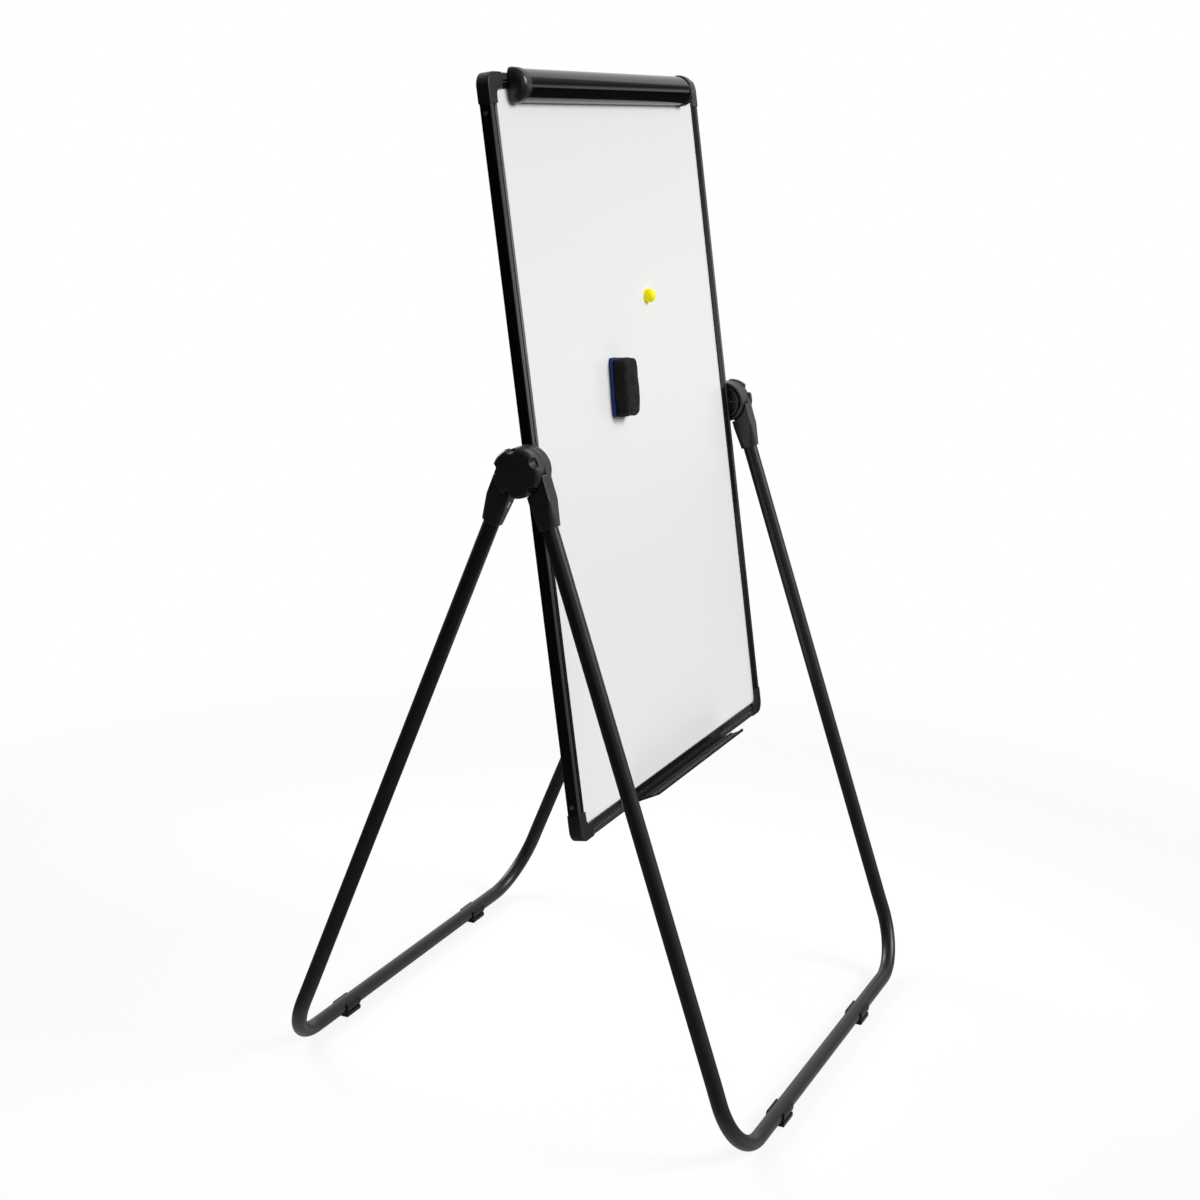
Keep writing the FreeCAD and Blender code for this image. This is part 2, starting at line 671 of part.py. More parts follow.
def make_knob(label, placement):
    """The clamping knob: a thick disc, rounded over its face, with finger scallops that narrow
    towards its foot."""
    body = new_body(label)
    sketch = new_sketch(body, "YZ_Plane")
    draw_circle(sketch, 0, 0, size.knob_radius)
    extrude(body, sketch, size.knob_height)
    round_edges(body, size.knob_round, lambda point: near(point.x, size.knob_height))
    scallop = new_sketch(body, "YZ_Plane", size.knob_height)
    draw_circle(scallop, 0, size.knob_radius + size.scallop_radius - size.scallop_bite, size.scallop_radius)
    bite = extrude(body, scallop, size.knob_height, kind="Pocket")
    taper = arc_tangent((size.scallop_radius - size.scallop_foot_radius) / size.knob_height)
    bite.setExpression("TaperAngle", (-taper).text)
    doc.recompute()
    ring_pattern(body, bite, size.scallop_count)
    pocket = new_sketch(body, "YZ_Plane")
    corner = size.nut_flats / square_root(as_size(3))
    flat = size.nut_flats / 2
    draw_outline(pocket, [(corner, 0), (corner / 2, flat), (-corner / 2, flat),
                          (-corner, 0), (-corner / 2, -flat), (corner / 2, -flat)])
    cut_away(body, pocket, 2 * size.nut_height)
    bore = new_sketch(body, "YZ_Plane")
    draw_circle(bore, 0, 0, size.stud_radius + size.fit_gap)
    cut_away(body, bore, 2 * (size.knob_height - size.stud_tip_gap))
    keep(body, label, placement)


def make_nut(label, placement):
    """The nut moulded into the knob."""
    body = new_body(label)
    sketch = new_sketch(body, "YZ_Plane")
    corner = size.nut_flats / square_root(as_size(3))
    flat = size.nut_flats / 2
    draw_outline(sketch, [(corner, 0), (corner / 2, flat), (-corner / 2, flat),
                          (-corner, 0), (-corner / 2, -flat), (corner / 2, -flat)])
    draw_circle(sketch, 0, 0, size.stud_radius + size.fit_gap)
    extrude(body, sketch, size.nut_height)
    keep(body, label, placement)


def make_hinges():
    """Both hinges: the left one is the right one turned half round."""
    sides = (("right", 0, size.right_knob_turn), ("left", HALF_TURN, size.left_knob_turn))
    for side, turn, knob_turn in sides:
        facing = turned(Z_AXIS, turn)
        edge = facing * moved(half_width, 0, 0)
        make_hub(f"{side}_hinge_plate", edge)
        make_stud(f"{side}_hinge_stud", edge)
        make_washer(f"{side}_friction_washer", edge)
        seat = board_frame * facing * turned(X_AXIS, knob_turn) * moved(knob_foot, 0, 0)
        make_knob(f"{side}_knob", seat)
        make_nut(f"{side}_knob_nut", seat)


# Legs: a bent tube with a socket bracket on each end and two foot clips

def make_tube(label, leg_frame):
    """The U-shaped leg: two long legs that lean slightly outwards, two bends and the floor bar."""
    body = new_body(label)
    top = -(size.arm_length - size.socket_depth)
    foot_x = tube_plane + size.tube_splay
    drop = bar_drop + top
    slant = square_root(drop * drop + size.tube_splay * size.tube_splay)
    # The bend meets the leaning leg where both tangents from the corner have one length.
    tangent = size.bend_radius * (slant - size.tube_splay) / drop
    rise_x = foot_x - tangent * size.tube_splay / slant
    rise_z = tangent * drop / slant - bar_drop
    path = new_sketch(body, "XZ_Plane", size.tube_offset)
    draw_outline(path, [
        (-tube_plane, top),
        (-rise_x, rise_z, size.bend_radius, 1),
        (tangent - foot_x, -bar_drop),
        (foot_x - tangent, -bar_drop, size.bend_radius, 1),
        (rise_x, rise_z),
        (tube_plane, top),
    ], closed=False)
    ring = new_sketch(body, "XY_Plane", top)
    draw_circle(ring, -tube_plane, -size.tube_offset, size.tube_radius)
    draw_circle(ring, -tube_plane, -size.tube_offset, size.tube_radius - size.tube_wall)
    pipe = body.newObject("PartDesign::AdditivePipe", f"{label}_pipe")
    pipe.Profile = ring
    pipe.Spine = path
    doc.recompute()
    keep(body, label, leg_frame)


def make_bracket(label, placement):
    """A moulded hinge bracket: a disc of half thickness that laps the other leg's disc, and a full
    thickness arm that turns from square to round where it takes the tube."""
    body = new_body(label)
    disc = size.disc_radius
    start = size.washer_gauge / 2
    half = size.arm_gauge / 2
    top_outer = square_root(disc * disc - arm_top * arm_top)
    upper = new_sketch(body, "XY_Plane", -arm_top)
    draw_rounded_box(upper, -half, -top_outer, half, -arm_inner, size.arm_round)
    waist = new_sketch(body, "XY_Plane", -arm_waist)
    draw_rounded_box(waist, -half, -top_outer, half, -arm_inner, size.arm_waist_round)
    lower = new_sketch(body, "XY_Plane", -size.arm_length)
    draw_rounded_box(lower, -half, -arm_outer, half, -arm_inner, size.arm_end_round)
    arm = body.newObject("PartDesign::AdditiveLoft", f"{label}_arm")
    arm.Profile = upper
    arm.Sections = [waist, lower]
    arm.Ruled = True
    doc.recompute()
    # On both sides of the disc's own layer the arm ends in a hollow shoulder.
    for middle in (start - half, start + size.disc_gauge + half):
        shoulder = new_sketch(body, "YZ_Plane", middle)
        draw_circle(shoulder, 0, 0, size.knob_radius + size.shoulder_gap)
        cut_away(body, shoulder, size.arm_gauge)
    add_disc(body, start, start + size.disc_gauge)
    bore = new_sketch(body, "YZ_Plane")
    draw_circle(bore, 0, 0, size.stud_radius + size.fit_gap)
    cut_away(body, bore, 4 * size.disc_gauge)
    socket = new_sketch(body, "XY_Plane", -size.arm_length)
    draw_circle(socket, 0, -size.tube_offset, size.tube_radius + size.socket_gap)
    cut_away(body, socket, 2 * size.socket_depth)
    head_seat = new_sketch(body, "XZ_Plane", arm_inner)
    draw_circle(head_seat, 0, -screw_drop, size.screw_head_radius + size.socket_gap)
    cut_away(body, head_seat, 2 * screw_seat)
    hole = new_sketch(body, "XZ_Plane", arm_inner)
    draw_circle(hole, 0, -screw_drop, size.screw_radius + size.fit_gap)
    cut_away(body, hole, 2 * (size.tube_offset - size.tube_radius))
    keep(body, label, placement)


def make_bracket_screws(label, leg_frame):
    """The slotted screws that hold a leg's brackets on its tube, one sunk in each arm."""
    shapes = []
    seat = arm_inner + screw_seat
    shank = size.tube_offset - size.tube_radius - size.socket_gap - seat
    for side in (-1, 1):
        start = FreeCAD.Vector(side * tube_plane.value, -seat.value, -screw_drop.value)
        head = Part.makeCylinder(size.screw_head_radius.value, size.screw_head_height.value, start, Y_AXIS)
        stem = Part.makeCylinder(size.screw_radius.value, shank.value, start, -Y_AXIS)
        slot_width = size.screw_head_height.value
        corner = start + FreeCAD.Vector(-size.screw_head_radius.value, slot_width / 2, -slot_width / 2)
        slot = Part.makeBox(2 * size.screw_head_radius.value, slot_width, slot_width, corner)
        shapes.append(head.cut(slot).fuse(stem).removeSplitter())
    solid_group(label, shapes, leg_frame)


def make_foot(label, placement):
    """A clip-on foot: a C-shaped clip that snaps round the floor bar, on a block with a flat sole."""
    body = new_body(label)
    sole = size.foot_width / 2
    floor = -bar_height
    outside = size.tube_radius + size.foot_gap + size.foot_wall
    block = new_sketch(body, "YZ_Plane")
    draw_box(block, -sole, floor, sole, floor + size.foot_block)
    extrude(body, block, size.foot_length, both_ways=True)
    clip = new_sketch(body, "YZ_Plane")
    chord = square_root(outside * outside - size.foot_wall_rise * size.foot_wall_rise)
    draw_outline(clip, [
        (-chord, size.foot_wall_rise, outside, 1),
        (0, -outside, outside, 1),
        (chord, size.foot_wall_rise),
    ])
    extrude(body, clip, size.foot_length, both_ways=True)
    seat = new_sketch(body, "YZ_Plane")
    draw_circle(seat, 0, 0, size.tube_radius + size.foot_gap)
    cut_away(body, seat, 2 * size.foot_length)
    keep(body, label, placement)


def make_legs():
    """Both legs: the rear one is the front one turned half round."""
    places = {
        "front": (size.foot_place, size.foot_place_short),
        "rear": (size.foot_place, size.foot_place),
    }
    for leg, leg_frame, turn in (("front", front_leg_frame, 1), ("rear", rear_leg_frame, -1)):
        make_tube(f"{leg}_tube", leg_frame)
        make_bracket_screws(f"{leg}_bracket_screws", leg_frame)
        for side, sign, place in zip(("left", "right"), (-turn, turn), places[leg]):
            make_bracket(f"{leg}_{side}_bracket", leg_frame * moved(sign * tube_plane, 0, 0))
            seat = moved(sign * place, -size.tube_offset, -bar_drop) * turned(X_AXIS, size.leg_angle)
            make_foot(f"{leg}_{side}_foot", leg_frame * seat)


# Paper clamp: a sprung half-round bar that tips on a pin between two fixed end caps

def add_arm(body, x, low_root, high_root):
    """An arm across the clamp to the pin, with a round end about the pin; its root may slant."""
    arm = new_sketch(body, "YZ_Plane", x)
    radius = size.ear_radius
    draw_outline(arm, [
        (low_root, clamp_pin_z - radius),
        (clamp_pin_y, clamp_pin_z - radius),
        (clamp_pin_y, clamp_pin_z + radius),
        (high_root, clamp_pin_z + radius),
    ])
    extrude(body, arm, size.ear_gauge, both_ways=True)
    end = new_sketch(body, "YZ_Plane", x)
    draw_circle(end, clamp_pin_y, clamp_pin_z, radius)
    extrude(body, end, size.ear_gauge, both_ways=True)


def bore_for_pin(body, length):
    """The hole for the clamp pin through all the arms of a body."""
    bore = new_sketch(body, "YZ_Plane")
    draw_circle(bore, clamp_pin_y, clamp_pin_z, size.pin_radius + size.fit_gap)
    cut_away(body, bore, length)


def make_clamp_base():
    """The base plate: a hook in the rail's groove, and ears that hold the pin."""
    body = new_body("clamp_base")
    front = front_face - size.base_gauge
    top = top_edge - size.base_drop
    hook_top = top_edge - groove_near - size.tray_gap
    hook_low = top_edge - groove_far + size.tray_gap
    hook_end = front_face + size.groove_depth - size.tray_gap
    sketch = new_sketch(body, "YZ_Plane")
    draw_outline(sketch, [
        (front, top - size.base_height),
        (front_face, top - size.base_height),
        (front_face, hook_low),
        (hook_end, hook_low),
        (hook_end, hook_top),
        (front_face, hook_top),
        (front_face, top),
        (front, top),
    ])
    extrude(body, sketch, base_length, both_ways=True)
    root = front + size.base_gauge / 2
    for step in (-1, 0, 1):
        add_arm(body, step * size.ear_place, root, root)
    bore_for_pin(body, base_length)
    keep(body, "clamp_base", board_frame)


def make_clamp_pin():
    """The pin that the bar tips on, held in both end caps."""
    length = clamp_length + size.clamp_cap_length
    rod = doc.addObject("Part::Cylinder", "clamp_pin")
    rod.setExpression("Radius", size.pin_radius.text)
    rod.setExpression("Height", length.text)
    start = moved(-length / 2, clamp_pin_y, clamp_pin_z) * turned(Y_AXIS, QUARTER_TURN)
    keep(rod, "clamp_pin", board_frame * start)


def make_clamp_springs():
    """The torsion springs that close the clamp: close coils round its pin, each with a leg that
    lies along the base plate."""
    shapes = []
    wire = size.spring_wire.value
    outside = size.spring_coil.value + wire / 2
    inside = size.spring_coil.value - wire / 2
    length = size.spring_length.value
    for side in (-1, 1):
        start = FreeCAD.Vector(side * size.spring_place.value - length / 2, clamp_pin_y.value,
                               clamp_pin_z.value)
        coil = Part.makeCylinder(outside, length, start, X_AXIS)
        leg_start = start + FreeCAD.Vector(wire, size.spring_coil.value, 0)
        leg = Part.makeCylinder(wire / 2, size.spring_leg.value, leg_start, Z_AXIS)
        core = Part.makeCylinder(inside, length, start, X_AXIS)
        shapes.append(coil.fuse(leg).cut(core).removeSplitter())
    solid_group("clamp_springs", shapes, board_frame)


def make_clamp_bar():
    """The half-round bar, open at its back, with a lip along its lower edge and lugs for the pin."""
    body = new_body("clamp_bar")
    outside = size.clamp_radius
    inside = size.clamp_radius - size.clamp_wall
    low = clamp_z - outside
    sketch = new_sketch(body, "YZ_Plane")
    draw_outline(sketch, [
        (clamp_y, clamp_z + outside, outside, 1),
        (clamp_y - outside, clamp_z, outside, 1),
        (clamp_y, low),
        (grip_back, low),
        (grip_back, low + size.clamp_lip),
        (clamp_y, low + size.clamp_lip),
        (clamp_y, clamp_z - inside, inside, -1),
        (clamp_y - inside, clamp_z, inside, -1),
        (clamp_y, clamp_z + inside),
    ])
    extrude(body, sketch, clamp_length - 2 * size.clamp_end_gap, both_ways=True)
    middle = size.clamp_radius - size.clamp_wall / 2
    rise = clamp_pin_z + size.ear_radius - clamp_z
    low_root = clamp_y - middle
    high_root = clamp_y - square_root(middle * middle - rise * rise)
    end = clamp_length / 2 - size.clamp_end_gap - size.ear_gauge / 2
    for place in (-end, -size.lug_place, size.lug_place, end):
        add_arm(body, place, low_root, high_root)
    bore_for_pin(body, 2 * clamp_length)
    keep(body, "clamp_bar", board_frame)


def make_clamp_grip():
    """The rubber strip on the bar's lip."""
    strip = doc.addObject("Part::Box", "clamp_grip")
    length = clamp_length - 2 * size.clamp_end_gap
    strip.setExpression("Length", length.text)
    strip.setExpression("Width", size.grip_gauge.text)
    strip.setExpression("Height", size.clamp_lip.text)
    corner = moved(-length / 2, grip_back, clamp_z - size.clamp_radius)
    keep(strip, "clamp_grip", board_frame * corner)


def make_clamp_cap(label, placement, pin_side):
    """A rounded end cap, fixed on the frame's face, with a blind bore for the clamp pin."""
    body = new_body(label)
    outside = size.clamp_radius + size.clamp_cap_proud
    back = size.clamp_gap
    sketch = new_sketch(body, "YZ_Plane")
    draw_outline(sketch, [
        (0, outside, outside, 1),
        (-outside, 0, outside, 1),
        (0, -outside),
        (back, -outside),
        (back, outside),
    ])
    extrude(body, sketch, size.clamp_cap_length)
    round_edges(body, size.clamp_cap_round, lambda point: near(point.x, size.clamp_cap_length)
                and near(math.hypot(point.y, point.z), outside))
    round_edges(body, size.clamp_cap_edge, lambda point: near(point.x, 0)
                and near(math.hypot(point.y, point.z), outside), "Chamfer")
    bore = new_sketch(body, "YZ_Plane")
    draw_circle(bore, clamp_pin_y - clamp_y, pin_side * (clamp_pin_z - clamp_z),
                size.pin_radius + size.fit_gap)
    cut_away(body, bore, size.clamp_cap_length + 2 * size.clamp_end_gap)
    keep(body, label, board_frame * placement)


def make_clamp():
    """The whole paper clamp."""
    make_clamp_base()
    make_clamp_pin()
    make_clamp_springs()
    make_clamp_bar()
    make_clamp_grip()
    end = clamp_length / 2
    make_clamp_cap("clamp_right_cap", moved(end, clamp_y, clamp_z), 1)
    upside_down = turned(Y_AXIS, HALF_TURN)
    make_clamp_cap("clamp_left_cap", moved(-end, clamp_y, clamp_z) * upside_down, -1)


# Pen tray

def make_tray():
    """The pen tray: hooked in the bottom rail's groove, with a floor that climbs to a lip."""
    body = new_body("pen_tray")
    back = front_face - size.tray_gap
    inside = back - size.tray_gauge
    front = front_face - size.tray_depth
    lip_inside = front + size.tray_gauge
    foot = low_edge + size.tray_foot
    slope = size.tray_rise / size.tray_depth
    hook_low = low_edge + groove_near + size.tray_gap
    hook_top = low_edge + groove_far - size.tray_gap
    hook_end = front_face + size.groove_depth - size.tray_gap
    rib_front = (inside + lip_inside - size.tray_rib) / 2
    rib_back = rib_front + size.tray_rib

    def floor_at(depth):
        return foot + size.tray_gauge + (back - depth) * slope

    sketch = new_sketch(body, "YZ_Plane")
    draw_outline(sketch, [
        (back, foot),
        (back, hook_low),
        (hook_end, hook_low),
        (hook_end, hook_top),
        (inside, hook_top),
        (inside, floor_at(inside)),
        (rib_back, floor_at(rib_back)),
        (rib_back, floor_at(rib_back) + size.tray_rib),
        (rib_front, floor_at(rib_back) + size.tray_rib),
        (rib_front, floor_at(rib_front)),
        (lip_inside, floor_at(lip_inside)),
        (lip_inside, floor_at(lip_inside) + size.tray_lip),
        (front, floor_at(lip_inside) + size.tray_lip),
        (front, floor_at(front) - size.tray_gauge),
    ])
    extrude(body, sketch, size.tray_length, both_ways=True)
    keep(body, "pen_tray", board_frame * moved(size.tray_x, 0, 0))


# Loose pieces that cling to the front sheet

def on_sheet(x, z):
    """A place on the front sheet: its own Z axis points out of the board, its Y axis up the board."""
    return board_frame * moved(x, sheet_face, z) * turned(X_AXIS, QUARTER_TURN)


def make_magnet():
    """The button magnet: a domed button with a magnet disc in its back."""
    place = on_sheet(size.magnet_x, size.magnet_z)
    body = new_body("magnet_button")
    sketch = new_sketch(body, "XY_Plane")
    draw_circle(sketch, 0, 0, size.magnet_radius)
    extrude(body, sketch, size.magnet_height)
    round_edges(body, size.magnet_round, lambda point: near(point.z, size.magnet_height))
    recess = new_sketch(body, "XY_Plane")
    draw_circle(recess, 0, 0, size.magnet_core_radius + size.socket_gap)
    cut_away(body, recess, 2 * size.magnet_core_height)
    keep(body, "magnet_button", place)
    core = doc.addObject("Part::Cylinder", "magnet_disc")
    core.setExpression("Radius", size.magnet_core_radius.text)
    core.setExpression("Height", size.magnet_core_height.text)
    keep(core, "magnet_disc", place)


def make_eraser():
    """The eraser: a plastic back with two magnets, and a felt pad in front of it."""
    place = on_sheet(size.eraser_x, size.eraser_z) * turned(Z_AXIS, -size.eraser_turn)
    wide = size.eraser_width / 2
    tall = size.eraser_height / 2
    inset = size.eraser_inset
    back = new_body("eraser_back")
    sketch = new_sketch(back, "XY_Plane")
    draw_rounded_box(sketch, -wide, -tall, wide, tall, size.eraser_round)
    extrude(back, sketch, size.eraser_base)
    recess = new_sketch(back, "XY_Plane")
    for side in (-1, 1):
        draw_circle(recess, 0, side * size.eraser_magnet_place, size.eraser_magnet_radius + size.socket_gap)
    cut_away(back, recess, 2 * size.eraser_magnet_height)
    keep(back, "eraser_back", place)
    felt = new_body("eraser_felt")
    pad = new_sketch(felt, "XY_Plane", size.eraser_base)
    draw_rounded_box(pad, inset - wide, inset - tall, wide - inset, tall - inset, size.eraser_round - inset)
    extrude(felt, pad, size.eraser_felt)
    round_edges(felt, size.felt_round, lambda point: near(point.z, size.eraser_base + size.eraser_felt))
    keep(felt, "eraser_felt", place)
    shapes = []
    for side in (-1, 1):
        centre = FreeCAD.Vector(0, side * size.eraser_magnet_place.value, 0)
        shapes.append(Part.makeCylinder(size.eraser_magnet_radius.value, size.eraser_magnet_height.value,
                                        centre, Z_AXIS))
    solid_group("eraser_magnets", shapes, place)


make_panel()
make_frame()
make_corners()
make_rivets()
make_hinges()
make_legs()
make_clamp()
make_tray()
make_magnet()
make_eraser()

doc.recompute()
for item in doc.Objects:
    if "Invalid" in item.State or "Error" in item.State:
        raise RuntimeError(f"{item.Name} did not build: {item.State}")
for piece in pieces:
    if piece.Shape.isNull() or not piece.Shape.isValid():
        raise RuntimeError(f"{piece.Label} has no valid shape")

os.makedirs("parts", exist_ok=True)
for piece in pieces:
    piece.Shape.exportStep(f"parts/{piece.Label}.step")
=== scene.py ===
import json
import math

import bpy
import numpy as np
from mathutils import Matrix, Vector


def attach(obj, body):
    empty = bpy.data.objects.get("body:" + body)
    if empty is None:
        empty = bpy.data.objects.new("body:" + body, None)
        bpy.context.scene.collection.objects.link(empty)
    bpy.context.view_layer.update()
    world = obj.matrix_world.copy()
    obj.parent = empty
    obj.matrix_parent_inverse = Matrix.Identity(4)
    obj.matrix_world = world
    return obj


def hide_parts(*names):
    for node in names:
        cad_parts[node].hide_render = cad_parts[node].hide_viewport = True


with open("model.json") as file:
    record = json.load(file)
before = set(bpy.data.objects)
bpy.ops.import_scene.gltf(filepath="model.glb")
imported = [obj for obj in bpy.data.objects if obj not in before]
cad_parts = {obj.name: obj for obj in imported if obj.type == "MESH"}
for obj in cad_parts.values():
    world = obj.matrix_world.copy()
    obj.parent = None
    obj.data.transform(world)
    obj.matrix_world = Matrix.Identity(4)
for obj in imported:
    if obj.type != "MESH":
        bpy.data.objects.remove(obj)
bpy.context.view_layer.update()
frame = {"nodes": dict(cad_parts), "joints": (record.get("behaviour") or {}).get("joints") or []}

bl_info = {
    "name": "Flip Whiteboard",
    "version": (1, 0, 0),
    "blender": (4, 5, 0),
    "location": "View3D > Sidebar > Whiteboard",
    "description": "Finishes and stages a flip whiteboard on two folding U-shaped legs",
    "category": "Object",
}

NODES = frame["nodes"]
PIVOT_HEIGHT = next(joint["pos_m"][2] for joint in frame["joints"] if joint["name"] == "board_turn")
BOARD_TILT = math.radians(10.0)
LEG_ANGLE = math.radians(20.6)
SHEET_FACE = -0.005

# A leg's centre line, measured from the hinge line
LEG_PLANE, TUBE_OFFSET, TUBE_SPLAY = 0.3709, 0.0141, 0.003
TUBE_TOP, FLOOR_BAR, BEND_RADIUS = -0.038, -0.955447, 0.085
LEG_STEPS, BEND_STEPS, BAR_STEPS, TUBE_SIDES = 30, 25, 20, 40

# The eraser's felt and its place on the board
FELT_WIDTH, FELT_HEIGHT, FELT_FOOT, FELT_THICK = 0.0486, 0.0816, 0.0058, 0.0195
FELT_ROWS, FELT_COLUMNS = 60, 200
ERASER_X, ERASER_Z, ERASER_TURN = -0.061, 0.071, math.radians(-6.0)

# The photograph's camera
CAMERA_PLACE = (-2.68035, -1.12669, 1.39036)
CAMERA_YAW, CAMERA_PITCH, CAMERA_ROLL = 1.1581, -0.2489, 0.0434
SENSOR_WIDTH = 36.0

# The studio: each lamp has its place, target, side and the setting of its power
LAMPS = (("Key", (2.8, -9.6, 7.0), (0.0, 0.0, 1.2), 5.0, "key_power"),
         ("Back", (1.5, 5.0, 3.6), (0.0, 0.0, 0.8), 3.0, "back_power"),
         ("Fill", (-2.6, -2.4, 1.7), (-0.4, -0.2, 0.8), 1.6, "fill_power"))
FLOOR_SIDES = 96
BACKDROP_WAY = (0.917, 0.4, 0.0)
DOME_DIFFUSE, DOME_GLOSS = 1.08, 0.5
WHITE = (1.0, 1.0, 1.0, 1.0)


# Places in the board's and the legs' own frames

def turn_about_x(points, angle, height):
    """Points turned about the X axis by an angle and raised by a height."""
    x, y, z = np.moveaxis(np.asarray(points, float), -1, 0)
    cosine, sine = math.cos(angle), math.sin(angle)
    return np.stack([x, y * cosine - z * sine, y * sine + z * cosine + height], -1)


def from_board(points):
    """Points of the upright board, with the hinge line as origin, in the leaning board's place."""
    return turn_about_x(points, -BOARD_TILT, PIVOT_HEIGHT)


def from_leg(points, rear=False):
    """Points of an upright leg in the front leg's place, or turned half round for the rear leg."""
    placed = turn_about_x(points, -LEG_ANGLE, PIVOT_HEIGHT)
    return placed * (-1, -1, 1) if rear else placed


# Surfaces from arrays

def mesh_piece(name, points, faces, smooth=True):
    """A new object at the origin from an array of points and a list of face arrays."""
    mesh = bpy.data.meshes.new(name)
    mesh.from_pydata(points.reshape(-1, 3).tolist(), [], faces)
    mesh.polygons.foreach_set("use_smooth", np.full(len(mesh.polygons), smooth))
    mesh.update()
    piece = bpy.data.objects.new(name, mesh)
    bpy.context.scene.collection.objects.link(piece)
    return piece


def ring_faces(rings, points):
    """Quads between neighbouring rings of points, and a flat face over the first ring and the last."""
    ring = np.arange(rings - 1)[:, None] * points
    point = np.arange(points)[None, :]
    following = (point + 1) % points
    corners = [ring + point, ring + following, ring + points + following, ring + points + point]
    quads = np.stack(np.broadcast_arrays(*corners), -1).reshape(-1, 4).tolist()
    first, last = range(points), range((rings - 1) * points, rings * points)
    return quads + [list(first)[::-1], list(last)]


def swept_tube(name, path, radius):
    """A circle carried along a plane path: the path's own tangent and the plane's normal give the
    two directions of each ring, and both ends are closed with a flat face."""
    tangent = np.gradient(path, axis=0)
    tangent /= np.linalg.norm(tangent, axis=1, keepdims=True)
    normal = np.cross(path[1] - path[0], path[len(path) // 2] - path[0])
    normal /= np.linalg.norm(normal)
    side = np.cross(tangent, normal)
    angle = np.linspace(0, 2 * np.pi, TUBE_SIDES, endpoint=False)[None, :, None]
    rings = path[:, None] + radius * (np.cos(angle) * side[:, None] + np.sin(angle) * normal)
    return mesh_piece(name, rings, ring_faces(len(path), TUBE_SIDES))


def leg_path():
    """The centre line of a U-shaped leg: down one leaning leg, round a bend, along the floor bar,
    round the other bend and up again."""
    foot, drop = LEG_PLANE + TUBE_SPLAY, TUBE_TOP - FLOOR_BAR
    slant = math.hypot(drop, TUBE_SPLAY)
    tangent = BEND_RADIUS * (slant - TUBE_SPLAY) / drop
    start = np.array([foot - tangent * TUBE_SPLAY / slant, FLOOR_BAR + tangent * drop / slant])
    centre = np.array([foot - tangent, FLOOR_BAR + BEND_RADIUS])
    first = math.atan2(start[1] - centre[1], start[0] - centre[0])
    angle = np.linspace(first, -np.pi / 2, BEND_STEPS)
    arc = centre + BEND_RADIUS * np.stack([np.cos(angle), np.sin(angle)], -1)
    share = np.linspace(0, 1, LEG_STEPS)[:-1, None]
    down = np.array([LEG_PLANE, TUBE_TOP]) * (1 - share) + start * share
    half = np.concatenate([down, arc])
    along = np.linspace(arc[-1, 0], -arc[-1, 0], BAR_STEPS)[1:-1]
    floor_bar = np.stack([along, np.full_like(along, FLOOR_BAR)], -1)
    flat = np.concatenate([half, floor_bar, half[::-1] * (-1, 1)])
    return np.stack([flat[:, 0], np.full(len(flat), -TUBE_OFFSET), flat[:, 1]], -1)


def felt_pad():
    """A crowned pad: a superellipse outline whose size and height follow a rounded profile, from the
    foot of its side to the middle of its face, with slow waves that make its sides and face uneven."""
    side_end, face_start = 0.16, 0.76
    side_height, crown = 0.58, 0.04
    corner, last_ring = 0.26, 0.004
    foot_end, pinch = 0.3, 0.025
    power_x, power_y = 0.36, 0.26
    around = np.linspace(0, 2 * np.pi, FELT_COLUMNS, endpoint=False)[None, :]
    rise = np.linspace(0, 1, FELT_ROWS)[:, None]
    turn = np.clip((rise - side_end) / (face_start - side_end), 0, 1) * np.pi / 2
    inside = np.clip((rise - face_start) / (1 - face_start), 0, 1)
    size = 1 - pinch + pinch * np.sin(np.clip(rise / foot_end, 0, 1) * np.pi / 2)
    size = size - corner * (1 - np.cos(turn)) - (1 - corner - last_ring) * inside
    level = np.clip(rise / side_end, 0, 1) * side_height
    level = level + (1 - side_height - crown) * np.sin(turn) + crown * inside ** 0.6
    cosine, sine = np.cos(around), np.sin(around)
    x = size * np.sign(cosine) * np.abs(cosine) ** power_x * FELT_WIDTH / 2
    y = size * np.sign(sine) * np.abs(sine) ** power_y * FELT_HEIGHT / 2
    dent = 0.0006 * (x > 0) * np.exp(-((y + 0.012) / 0.012) ** 2)
    x = x + 0.0007 * np.sin(y * 150 + 0.6 + x * 40) - dent
    x = x + 0.00035 * np.sin(y * 610 + 3 * np.sin(x * 200)) * size
    y = y + 0.0005 * np.sin(x * 260 + 1.9) * size
    lumps = 0.0006 * np.sin(x * 170 + 1) * np.sin(y * 120) + 0.00025 * np.sin(x * 700 + y * 330)
    z = FELT_FOOT + FELT_THICK * level + level * lumps
    return np.stack(np.broadcast_arrays(x, y, z), -1)


# Shader node helpers and groups

def new_group(name, inputs, outputs):
    """A shader node group with named float or colour sockets."""
    group = bpy.data.node_groups.new(name, "ShaderNodeTree")
    for label, kind, value in inputs:
        socket = group.interface.new_socket(label, in_out="INPUT", socket_type=kind)
        socket.default_value = value
    for label, kind in outputs:
        group.interface.new_socket(label, in_out="OUTPUT", socket_type=kind)
    return group, group.nodes.new("NodeGroupInput"), group.nodes.new("NodeGroupOutput")


FLOAT, COLOUR, VECTOR = "NodeSocketFloat", "NodeSocketColor", "NodeSocketVector"
PLACE = ("Vector", VECTOR, (0.0, 0.0, 0.0))
FINISH = [("Colour", COLOUR), ("Roughness", FLOAT), ("Height", FLOAT)]


